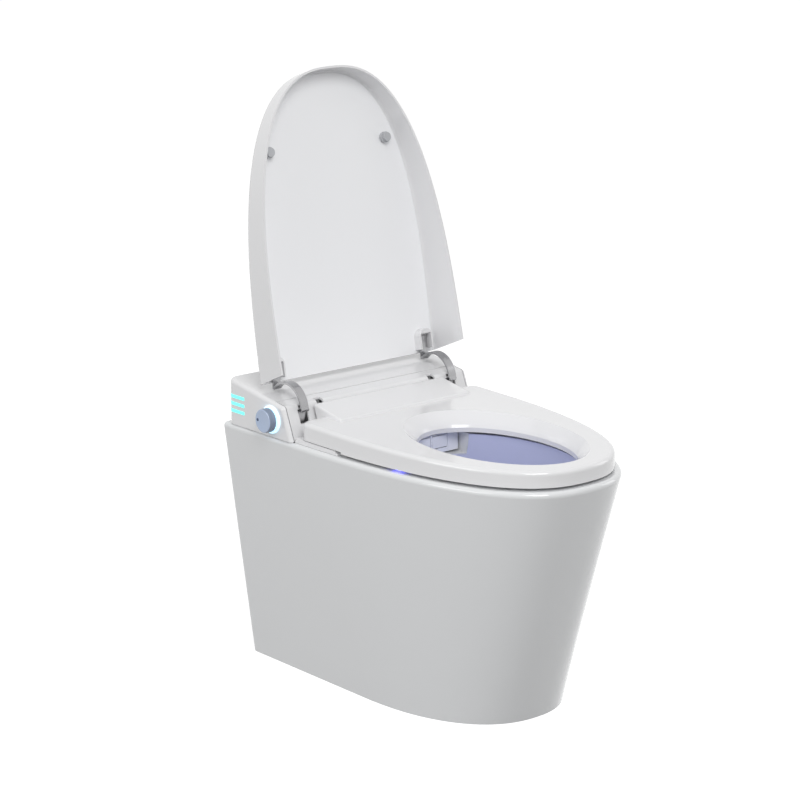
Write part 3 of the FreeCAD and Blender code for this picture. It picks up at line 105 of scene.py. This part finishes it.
# ---------------------------------------------------------------- settings
class ToiletFinishes(bpy.types.PropertyGroup):
    """Colours and gloss of the finishes."""
    glaze: FloatVectorProperty(name="Glaze", description="Colour of the ceramic glaze",
                               default=(0.78, 0.79, 0.80), subtype="COLOR", size=3)
    shell: FloatVectorProperty(name="Shell", description="Colour of the white plastic shells",
                               default=(0.82, 0.82, 0.83), subtype="COLOR", size=3)
    # Painted light: the inner panel is the same white plastic as the shells, given a brighter colour for
    # the strong front light on it.
    panel: FloatVectorProperty(name="Panel", description="Colour of the lid's inner panel",
                               default=(0.96, 0.965, 0.98), subtype="COLOR", size=3)
    # Painted light: the night lamp's blue glow in the bowl, put into the glaze colour; the glaze itself
    # is white.
    bowl: FloatVectorProperty(name="Bowl", description="Tint of the glaze inside the bowl",
                              default=(0.52, 0.55, 0.76), subtype="COLOR", size=3)
    shield: FloatVectorProperty(name="Shield", description="Colour of the wash unit and its shields",
                                default=(0.90, 0.92, 0.99), subtype="COLOR", size=3)
    base_grey: FloatVectorProperty(name="Base grey", description="Colour of hinge lugs and dampers",
                                   default=(0.68, 0.68, 0.70), subtype="COLOR", size=3)
    knob_face: FloatVectorProperty(name="Knob face", description="Colour of the control knob",
                                   default=(0.45, 0.55, 0.74), subtype="COLOR", size=3)
    lamp: FloatVectorProperty(name="Lamp", description="Colour of the indicator lenses",
                              default=(0.20, 1.00, 0.88), subtype="COLOR", size=3)
    night_lamp: FloatVectorProperty(name="Night lamp", description="Colour of the night light",
                                    default=(0.16, 0.16, 1.00), subtype="COLOR", size=3)
    glaze_roughness: FloatProperty(name="Glaze roughness", description="Roughness of the glaze",
                                   default=0.08, min=0.0, max=1.0, subtype="FACTOR")
    shell_roughness: FloatProperty(name="Shell roughness", description="Roughness of the plastic shells",
                                   default=0.14, min=0.0, max=1.0, subtype="FACTOR")


class ToiletKnob(bpy.types.PropertyGroup):
    """Sizes of the control knob."""
    radius: FloatProperty(name="Radius", description="Outer radius of the knob",
                          default=0.0195, min=0.01, unit="LENGTH")
    dimple: FloatProperty(name="Dimple", description="Depth of the dished face",
                          default=0.0009, min=0.0, unit="LENGTH")
    dot_radius: FloatProperty(name="Dot radius", description="Radius of the index dot",
                              default=0.0026, min=0.0005, unit="LENGTH")


class ToiletStudio(bpy.types.PropertyGroup):
    """Levels of the studio light."""
    world: FloatProperty(name="World", description="Strength of the world light",
                         default=0.50, min=0.0)
    key: FloatProperty(name="Key", description="Power of the key lamp", default=60.0, min=0.0,
                       unit="POWER")
    side: FloatProperty(name="Side", description="Power of the lamp on the right",
                        default=12.0, min=0.0, unit="POWER")
    fill: FloatProperty(name="Fill", description="Power of the fill lamp", default=36.0, min=0.0,
                        unit="POWER")


def settings():
    """The three groups of settings on the scene."""
    scene = bpy.context.scene
    return scene.toilet_finishes, scene.toilet_knob, scene.toilet_studio


# ---------------------------------------------------------------- materials
def principled(name, colour, roughness, metallic=0.0, coat=0.0, specular=0.5):
    """New Principled material with its plain values set on the shader's own sockets."""
    material = bpy.data.materials.new(name)
    material.use_nodes = True
    shader = material.node_tree.nodes["Principled BSDF"]
    shader.inputs["Base Color"].default_value = (*colour, 1.0)
    shader.inputs["Roughness"].default_value = roughness
    shader.inputs["Metallic"].default_value = metallic
    shader.inputs["Coat Weight"].default_value = coat
    shader.inputs["Coat Roughness"].default_value = 0.04
    shader.inputs["Specular IOR Level"].default_value = specular
    return material


def shader_of(material):
    """Principled node of a material."""
    return material.node_tree.nodes["Principled BSDF"]


def add_grain(material, scale, strength, distance):
    """Faint bump from noise on Object coordinates."""
    nodes = material.node_tree.nodes
    links = material.node_tree.links
    place = nodes.new("ShaderNodeTexCoord")
    noise = nodes.new("ShaderNodeTexNoise")
    noise.inputs["Scale"].default_value = scale
    noise.inputs["Detail"].default_value = 2.0
    bump = nodes.new("ShaderNodeBump")
    bump.inputs["Strength"].default_value = strength
    bump.inputs["Distance"].default_value = distance
    links.new(place.outputs["Object"], noise.inputs["Vector"])
    links.new(noise.outputs["Fac"], bump.inputs["Height"])
    links.new(bump.outputs["Normal"], shader_of(material).inputs["Normal"])
    return material


def glow(material, colour, strength):
    """Gives a material light of its own."""
    shader_of(material).inputs["Emission Color"].default_value = (*colour, 1.0)
    shader_of(material).inputs["Emission Strength"].default_value = strength
    return material


def glaze_with_painted_bowl_light(outer, inner):
    """White glaze with the night lamp's blue light painted into its colour inside the bowl: an oval of
    Object coordinates, wider upwards, marks it.
    """
    finishes = settings()[0]
    material = principled("bowl_and_body_glaze", outer, finishes.glaze_roughness, coat=0.4)
    nodes = material.node_tree.nodes
    links = material.node_tree.links
    place = nodes.new("ShaderNodeTexCoord")
    centre = nodes.new("ShaderNodeMapping")
    centre.inputs["Location"].default_value = (0.0, -BOWL_CENTRE_Y / BOWL_HALF_LENGTH, 0.0)
    centre.inputs["Scale"].default_value = (1.0 / BOWL_HALF_WIDTH, 1.0 / BOWL_HALF_LENGTH, 0.0)
    reach = nodes.new("ShaderNodeVectorMath")
    reach.operation = "LENGTH"
    split = nodes.new("ShaderNodeSeparateXYZ")
    limit = nodes.new("ShaderNodeMapRange")
    limit.inputs["From Min"].default_value = 0.0
    limit.inputs["From Max"].default_value = BOWL_RIM_Z
    limit.inputs["To Min"].default_value = BOWL_FOOT_SHARE
    over = nodes.new("ShaderNodeMath")
    over.operation = "SUBTRACT"
    ramp = nodes.new("ShaderNodeMapRange")
    ramp.inputs["From Min"].default_value = -0.015
    ramp.inputs["From Max"].default_value = 0.0
    mix = nodes.new("ShaderNodeMix")
    mix.data_type = "RGBA"
    # A is the painted blue light inside the bowl, B the white glaze.
    mix.inputs["A"].default_value = (*inner, 1.0)
    mix.inputs["B"].default_value = (*outer, 1.0)
    links.new(place.outputs["Object"], centre.inputs["Vector"])
    links.new(centre.outputs["Vector"], reach.inputs[0])
    links.new(place.outputs["Object"], split.inputs["Vector"])
    links.new(split.outputs["Z"], limit.inputs["Value"])
    links.new(reach.outputs["Value"], over.inputs[0])
    links.new(limit.outputs["Result"], over.inputs[1])
    links.new(over.outputs["Value"], ramp.inputs["Value"])
    links.new(ramp.outputs["Result"], mix.inputs["Factor"])
    links.new(mix.outputs["Result"], shader_of(material).inputs["Base Color"])
    return material


def put_on(material, *nodes):
    """Gives CAD nodes one material."""
    for name in nodes:
        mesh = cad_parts[name].data
        mesh.materials.clear()
        mesh.materials.append(material)


# ---------------------------------------------------------------- modelling helpers
def new_piece(name, bm, material, body, smooth_deg=35.0):
    """Makes an object from a bmesh, with its normals turned outwards and smoothed by angle."""
    bmesh.ops.remove_doubles(bm, verts=bm.verts, dist=1e-6)
    bmesh.ops.recalc_face_normals(bm, faces=bm.faces)
    mesh = bpy.data.meshes.new(name)
    bm.to_mesh(mesh)
    bm.free()
    mesh.shade_smooth()
    mesh.set_sharp_from_angle(angle=math.radians(smooth_deg))
    mesh.materials.append(material)
    piece = bpy.data.objects.new(name, mesh)
    bpy.context.scene.collection.objects.link(piece)
    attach(piece, body)
    return piece


def turned(profile, centre, axis_matrix, steps=96):
    """Solid of revolution: profile points are (radius, height) about the local Z axis."""
    bm = bmesh.new()
    verts = [bm.verts.new((r, 0.0, h)) for r, h in profile]
    edges = [bm.edges.new(pair) for pair in zip(verts, verts[1:])]
    bmesh.ops.spin(bm, geom=verts + edges, cent=(0, 0, 0), axis=(0, 0, 1), angle=math.tau,
                   steps=steps, use_merge=True, use_duplicate=False)
    bmesh.ops.remove_doubles(bm, verts=bm.verts, dist=1e-6)
    bmesh.ops.transform(bm, matrix=Matrix.Translation(centre) @ axis_matrix, verts=bm.verts)
    return bm


def band(x, half_width, radii, angles, steps=24):
    """Curved strip about the hinge axis; angles run from the rear over the top to the front."""
    inner, outer = radii
    start_deg, end_deg = angles
    bm = bmesh.new()
    corners = [(x - half_width, inner), (x - half_width, outer),
               (x + half_width, outer), (x + half_width, inner)]
    start = math.radians(start_deg)
    verts = [bm.verts.new((a, HINGE.y + r * math.cos(start), HINGE.z + r * math.sin(start)))
             for a, r in corners]
    face = bm.faces.new(verts)
    bmesh.ops.spin(bm, geom=[face], cent=HINGE, axis=(1, 0, 0),
                   angle=math.radians(end_deg - start_deg), steps=steps, use_duplicate=False)
    return bm


def plate(centre, size):
    """Flat box of the given size."""
    bm = bmesh.new()
    place = Matrix.Translation(centre) @ Matrix.Diagonal((*size, 1.0))
    bmesh.ops.create_cube(bm, size=1.0, matrix=place)
    return bm


TOWARDS_LEFT = Matrix.Rotation(-math.pi / 2, 4, "Y")
TOWARDS_REAR = Matrix.Rotation(-math.pi / 2, 4, "X")


# ---------------------------------------------------------------- operators
class PieceOperator:
    """Shared options of the piece operators."""
    bl_options = {"REGISTER", "UNDO"}


class TOILET_OT_ceramic(PieceOperator, bpy.types.Operator):
    """Glazes the ceramic body, with the night lamp's blue light painted inside the bowl"""
    bl_idname = "toilet.ceramic"
    bl_label = "Glaze the ceramic"

    def execute(self, context):
        finishes = settings()[0]
        glaze = glaze_with_painted_bowl_light(tuple(finishes.glaze), tuple(finishes.bowl))
        add_grain(glaze, 7.0, 0.05, 0.004)
        put_on(glaze, "ceramic_body")
        return {"FINISHED"}


class TOILET_OT_shells(PieceOperator, bpy.types.Operator):
    """Finishes the white plastic shells of housing, seat and lid, with a brighter copy of the white on
    the lid's inner panel for the light it catches
    """
    bl_idname = "toilet.shells"
    bl_label = "Finish the shells"

    def execute(self, context):
        finishes = settings()[0]
        white = principled("white_shell_gloss", finishes.shell, finishes.shell_roughness, coat=0.35)
        add_grain(white, 22.0, 0.03, 0.002)
        put_on(white, "top_cover", "housing_brow", "seat_upper_shell", "seat_lower_shell",
               "lid_outer_shell", "arm_boss_left", "arm_boss_right", "chassis")
        # Painted light: a brighter copy of the shell white on the inner panel, for the front light it
        # catches.
        panel = principled("lid_panel_gloss", finishes.panel, finishes.shell_roughness, coat=0.35)
        add_grain(panel, 9.0, 0.03, 0.002)
        put_on(panel, "lid_inner_panel")
        return {"FINISHED"}


class TOILET_OT_base(PieceOperator, bpy.types.Operator):
    """Finishes the wash unit's case and shields, the hinge lugs and the dampers"""
    bl_idname = "toilet.base"
    bl_label = "Finish the grey mouldings"

    def execute(self, context):
        finishes = settings()[0]
        grey = principled("grey_moulding", finishes.base_grey, 0.32)
        add_grain(grey, 160.0, 0.05, 0.0006)
        put_on(grey, "seat_lug_left", "seat_lug_right", "lid_damper_left", "lid_damper_right",
               "seat_damper_left", "seat_damper_right")
        shield = principled("shield_moulding", finishes.shield, 0.2, coat=0.2)
        put_on(shield, "nozzle_housing", "wand_cap_left", "wand_cap_right")
        return {"FINISHED"}


class TOILET_OT_metal(PieceOperator, bpy.types.Operator):
    """Finishes chromed arms, steel parts and brass"""
    bl_idname = "toilet.metal"
    bl_label = "Finish the metal"

    def execute(self, context):
        chrome = principled("brushed_chrome", (0.40, 0.40, 0.41), 0.22, metallic=1.0)
        add_grain(chrome, 700.0, 0.06, 0.0002)
        put_on(chrome, "lid_arm_left", "lid_arm_right")
        steel = principled("brushed_steel", (0.55, 0.56, 0.58), 0.28, metallic=1.0)
        add_grain(steel, 900.0, 0.08, 0.0002)
        put_on(steel, "hinge_shaft", "knob_spindle", "chassis_bolts", "rear_screws",
               "wash_wand_left", "wash_wand_right", "wand_motor_left", "wand_motor_right")
        foil = principled("heater_foil", (0.62, 0.62, 0.63), 0.35, metallic=1.0)
        put_on(foil, "seat_heater", "power_supply")
        brass = principled("nickelled_brass", (0.62, 0.52, 0.34), 0.30, metallic=1.0)
        put_on(brass, "water_inlet", "inlet_solenoid")
        return {"FINISHED"}


class TOILET_OT_rubber(PieceOperator, bpy.types.Operator):
    """Finishes rubber stops, feet and seal, and the dark inner mouldings"""
    bl_idname = "toilet.rubber"
    bl_label = "Finish the rubber"

    def execute(self, context):
        stop = principled("grey_rubber", (0.50, 0.51, 0.53), 0.5)
        put_on(stop, "lid_bumper_left", "lid_bumper_right", "seat_bumpers")
        seal = principled("black_rubber", (0.02, 0.02, 0.02), 0.7)
        add_grain(seal, 300.0, 0.1, 0.0005)
        put_on(seal, "outlet_seal")
        dark = principled("dark_moulding", (0.30, 0.30, 0.31), 0.45)
        add_grain(dark, 240.0, 0.08, 0.0005)
        put_on(dark, "flush_valve", "flush_pump", "power_gland", "knob_encoder", "heater_tank",
               "blower_housing", "blower_wheel", "dryer_duct", "deodoriser_case",
               "deodoriser_wheel", "carbon_cartridge")
        board = principled("circuit_board", (0.02, 0.12, 0.05), 0.4)
        put_on(board, "main_board")
        return {"FINISHED"}


class TOILET_OT_lights(PieceOperator, bpy.types.Operator):
    """Lights the indicator lenses, the ring behind the knob and the night light"""
    bl_idname = "toilet.lights"
    bl_label = "Light the lenses"

    def execute(self, context):
        finishes = settings()[0]
        bars = glow(principled("bar_lens", finishes.lamp, 0.2), finishes.lamp, 0.55)
        put_on(bars, "light_bars")
        halo = glow(principled("ring_lens", (0.80, 0.93, 0.97), 0.2), (0.45, 0.80, 1.0), 1.1)
        put_on(halo, "knob_bezel")
        night = glow(principled("night_lens", finishes.night_lamp, 0.2), finishes.night_lamp, 3.0)
        put_on(night, "night_light")
        return {"FINISHED"}


class TOILET_OT_knob(PieceOperator, bpy.types.Operator):
    """Turns the control knob, with its dished face, index dot and painted shade on its side"""
    bl_idname = "toilet.knob"
    bl_label = "Make the knob"

    def execute(self, context):
        finishes, sizes, _ = settings()
        low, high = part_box("knob")
        centre = (low + high) / 2
        depth = high.x - low.x
        r = sizes.radius
        profile = [(0.0032, 0.0), (0.0165, 0.0), (r - 0.0006, 0.0), (r, 0.0006), (r, depth * 0.40),
                   (r - 0.0004, depth * 0.46), (r - 0.0004, depth * 0.52), (r, depth * 0.58),
                   (r - 0.0002, depth - 0.0022), (r - 0.0007, depth - 0.0008),
                   (r - 0.0018, depth - 0.0001), (r - 0.0030, depth - 0.0002),
                   (r * 0.6, depth - sizes.dimple * 0.8), (r * 0.3, depth - sizes.dimple),
                   (0.0, depth - sizes.dimple)]
        place = Vector((high.x, centre.y, centre.z))
        pale = principled("knob_satin", finishes.knob_face, 0.22, coat=0.3)
        knob = new_piece("knob_turned", turned(profile, place, TOWARDS_LEFT), pale, KNOB_BODY)
        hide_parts("knob")
        # Painted shade: the knob's side gets the face colour at 0.55, a shaded copy of the same satin.
        side = principled("knob_side", tuple(0.55 * c for c in finishes.knob_face), 0.3)
        knob.data.materials.append(side)
        for face in knob.data.polygons:
            face.material_index = int(abs(face.normal.x) < SHADED_SIDE_STEEPNESS)
        dot_profile = [(0.0, -0.0004), (sizes.dot_radius, -0.0004), (sizes.dot_radius, 0.0002),
                       (sizes.dot_radius * 0.7, 0.0004), (0.0, 0.0005)]
        dot_place = Vector((low.x + 0.0006, centre.y + r * 0.68, centre.z))
        ink = principled("index_dot", (0.05, 0.08, 0.16), 0.4)
        new_piece("knob_index_dot", turned(dot_profile, dot_place, TOWARDS_LEFT, 32), ink, KNOB_BODY)
        return {"FINISHED"}


class TOILET_OT_trim(PieceOperator, bpy.types.Operator):
    """Adds the slots' covers and walls, the lugs' toes, and painted shade: dark discs in the rolls' ends
    and a dark strip in the housing's seam
    """
    bl_idname = "toilet.trim"
    bl_label = "Add the small trim"

    def execute(self, context):
        finishes = settings()[0]
        white = principled("slot_cover_gloss", finishes.shell, finishes.shell_roughness)
        dark = principled("shadow_grey", (0.03, 0.03, 0.035), 0.5)
        for name, side in (("left", -1.0), ("right", 1.0)):
            cover = band(side * ARM_X, SLOT_HALF_WIDTH, COVER_RADII, COVER_ANGLES)
            new_piece("arm_slot_cover_" + name, cover, white, LID_BODY)
            toe = band(side * LUG_X, TOE_HALF_WIDTH, TOE_RADII, TOE_ANGLES)
            new_piece("lug_toe_" + name, toe, white, SEAT_BODY)
            for where, gap in (("inner", -INNER_WALL_GAP), ("outer", OUTER_WALL_GAP)):
                wall = plate((side * (LUG_X + gap), *SLOT_WALL_PLACE), SLOT_WALL_SIZE)
                new_piece("lug_slot_wall_%s_%s" % (where, name), wall, white, MAIN_BODY)
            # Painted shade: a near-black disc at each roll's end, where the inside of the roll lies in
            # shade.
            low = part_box("lid_arm_" + name)[0]
            disc = [(0.0, -0.0006), (ROLL_SHADE_RADIUS, -0.0006), (ROLL_SHADE_RADIUS, 0.00015), (0.0, 0.00015)]
            mouth = turned(disc, (low.x, ROLL.y, ROLL.z), TOWARDS_LEFT, 32)
            new_piece("arm_roll_mouth_" + name, mouth, dark, LID_BODY)
        # Painted shadow: a near-black strip in the seam between cover and brow.
        self.seam(dark)
        return {"FINISHED"}

    def seam(self, dark):
        """Painted shadow in the gap between cover and brow: a dark slice of the cover's wall, set into
        the gap.
        """
        bm = bmesh.new()
        bm.from_mesh(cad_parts["top_cover"].data)
        bmesh.ops.remove_doubles(bm, verts=bm.verts, dist=1e-6)
        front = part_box("top_cover")[0].y
        for depth, inner in zip(SEAM_SLICE, (True, False)):
            geom = bm.verts[:] + bm.edges[:] + bm.faces[:]
            bmesh.ops.bisect_plane(bm, geom=geom, plane_co=(0.0, front + depth, 0.0), plane_no=(0, 1, 0),
                                   clear_inner=inner, clear_outer=not inner)
            bmesh.ops.holes_fill(bm, edges=[edge for edge in bm.edges if edge.is_boundary])
        place = Matrix.Translation((0.0, -SEAM_SHIFT, 0.0)) @ Matrix.Diagonal(SEAM_SHRINK)
        bmesh.ops.transform(bm, matrix=place, verts=bm.verts)
        new_piece("housing_seam", bm, dark, MAIN_BODY)


class TOILET_OT_stage(PieceOperator, bpy.types.Operator):
    """Sets floor, backdrop, lamps, world and camera"""
    bl_idname = "toilet.stage"
    bl_label = "Set the stage"

    def execute(self, context):
        studio = settings()[2]
        self.floor(context)
        self.world(context, studio)
        for name, (place, size) in LAMPS.items():
            self.lamp(context, name + "_lamp", place, size, getattr(studio, name))
        self.camera(context)
        context.scene.view_settings.view_transform = "Standard"
        return {"FINISHED"}

    def seen(self, tree):
        """Factor that is 1 for rays from the camera and for rays off metal or through glass."""
        path = tree.nodes.new("ShaderNodeLightPath")
        factor = path.outputs["Is Camera Ray"]
        for other in ("Is Glossy Ray", "Is Transmission Ray"):
            most = tree.nodes.new("ShaderNodeMath")
            most.operation = "MAXIMUM"
            tree.links.new(factor, most.inputs[0])
            tree.links.new(path.outputs[other], most.inputs[1])
            factor = most.outputs["Value"]
        return factor

    def floor(self, context):
        """Floor that shows as white and keeps the object's shadow, grey as a reflector."""
        bm = bmesh.new()
        bmesh.ops.create_grid(bm, x_segments=1, y_segments=1, size=14.0)
        mesh = bpy.data.meshes.new("floor")
        bm.to_mesh(mesh)
        bm.free()
        floor = bpy.data.objects.new("floor", mesh)
        context.scene.collection.objects.link(floor)
        material = principled("white_floor", (0.28, 0.28, 0.28), 0.9, specular=0.1)
        tree = material.node_tree
        shade = tree.nodes.new("ShaderNodeBsdfDiffuse")
        shade.inputs["Color"].default_value = (0.45, 0.45, 0.45, 1.0)
        lift = tree.nodes.new("ShaderNodeEmission")
        lift.inputs["Strength"].default_value = 0.80
        both = tree.nodes.new("ShaderNodeAddShader")
        mix = tree.nodes.new("ShaderNodeMixShader")
        tree.links.new(shade.outputs["BSDF"], both.inputs[0])
        tree.links.new(lift.outputs["Emission"], both.inputs[1])
        tree.links.new(self.seen(tree), mix.inputs["Fac"])
        tree.links.new(shader_of(material).outputs["BSDF"], mix.inputs[1])
        tree.links.new(both.outputs["Shader"], mix.inputs[2])
        tree.links.new(mix.outputs["Shader"], tree.nodes["Material Output"].inputs["Surface"])
        mesh.materials.append(material)

    def world(self, context, studio):
        """White to the camera and in reflections, softer as a light."""
        world = bpy.data.worlds.new("studio")
        context.scene.world = world
        world.use_nodes = True
        tree = world.node_tree
        plain = tree.nodes["Background"]
        plain.inputs["Color"].default_value = (1.0, 1.0, 1.0, 1.0)
        plain.inputs["Strength"].default_value = studio.world
        shown = tree.nodes.new("ShaderNodeBackground")
        shown.inputs["Color"].default_value = (1.0, 1.0, 1.0, 1.0)
        mix = tree.nodes.new("ShaderNodeMixShader")
        tree.links.new(self.seen(tree), mix.inputs["Fac"])
        tree.links.new(plain.outputs["Background"], mix.inputs[1])
        tree.links.new(shown.outputs["Background"], mix.inputs[2])
        tree.links.new(mix.outputs["Shader"], tree.nodes["World Output"].inputs["Surface"])

    def lamp(self, context, name, place, size, power):
        """Square soft lamp aimed at the seat."""
        data = bpy.data.lights.new(name, "AREA")
        data.size = size
        data.energy = power
        lamp = bpy.data.objects.new(name, data)
        lamp.location = place
        aim = Vector((0.0, 0.0, 0.45)) - Vector(place)
        lamp.rotation_euler = aim.to_track_quat("-Z", "Y").to_euler()
        context.scene.collection.objects.link(lamp)

    def camera(self, context):
        """Camera at the photograph's viewing angle."""
        data = bpy.data.cameras.new("camera")
        data.lens = 121.30
        data.sensor_width = 36.0
        data.clip_end = 60.0
        camera = bpy.data.objects.new("camera", data)
        camera.location = (-2.72116, -3.08156, 1.54833)
        camera.rotation_euler = (math.radians(90.0 - 14.71), 0.0, math.radians(-40.42))
        context.scene.collection.objects.link(camera)
        context.scene.camera = camera


# ---------------------------------------------------------------- panel and registration
PIECE_OPERATORS = (TOILET_OT_ceramic, TOILET_OT_shells, TOILET_OT_base, TOILET_OT_metal,
                   TOILET_OT_rubber, TOILET_OT_lights, TOILET_OT_knob, TOILET_OT_trim,
                   TOILET_OT_stage)


class TOILET_PT_pieces(bpy.types.Panel):
    """Lists the operators in the sidebar."""
    bl_idname = "TOILET_PT_pieces"
    bl_label = "Toilet"
    bl_space_type = "VIEW_3D"
    bl_region_type = "UI"
    bl_category = "Toilet"

    def draw(self, context):
        for operator in PIECE_OPERATORS:
            self.layout.operator(operator.bl_idname)


CLASSES = (ToiletFinishes, ToiletKnob, ToiletStudio, *PIECE_OPERATORS, TOILET_PT_pieces)


def register():
    """Registers the classes and hangs the settings on the scene."""
    for cls in CLASSES:
        bpy.utils.register_class(cls)
    bpy.types.Scene.toilet_finishes = PointerProperty(type=ToiletFinishes)
    bpy.types.Scene.toilet_knob = PointerProperty(type=ToiletKnob)
    bpy.types.Scene.toilet_studio = PointerProperty(type=ToiletStudio)


def unregister():
    """Takes the settings and the classes away again."""
    del bpy.types.Scene.toilet_studio
    del bpy.types.Scene.toilet_knob
    del bpy.types.Scene.toilet_finishes
    for cls in reversed(CLASSES):
        bpy.utils.unregister_class(cls)


def main():
    """Makes every piece in order."""
    register()
    bpy.ops.toilet.ceramic()
    bpy.ops.toilet.shells()
    bpy.ops.toilet.base()
    bpy.ops.toilet.metal()
    bpy.ops.toilet.rubber()
    bpy.ops.toilet.lights()
    bpy.ops.toilet.knob()
    bpy.ops.toilet.trim()
    bpy.ops.toilet.stage()


if __name__ == "__main__":
    main()
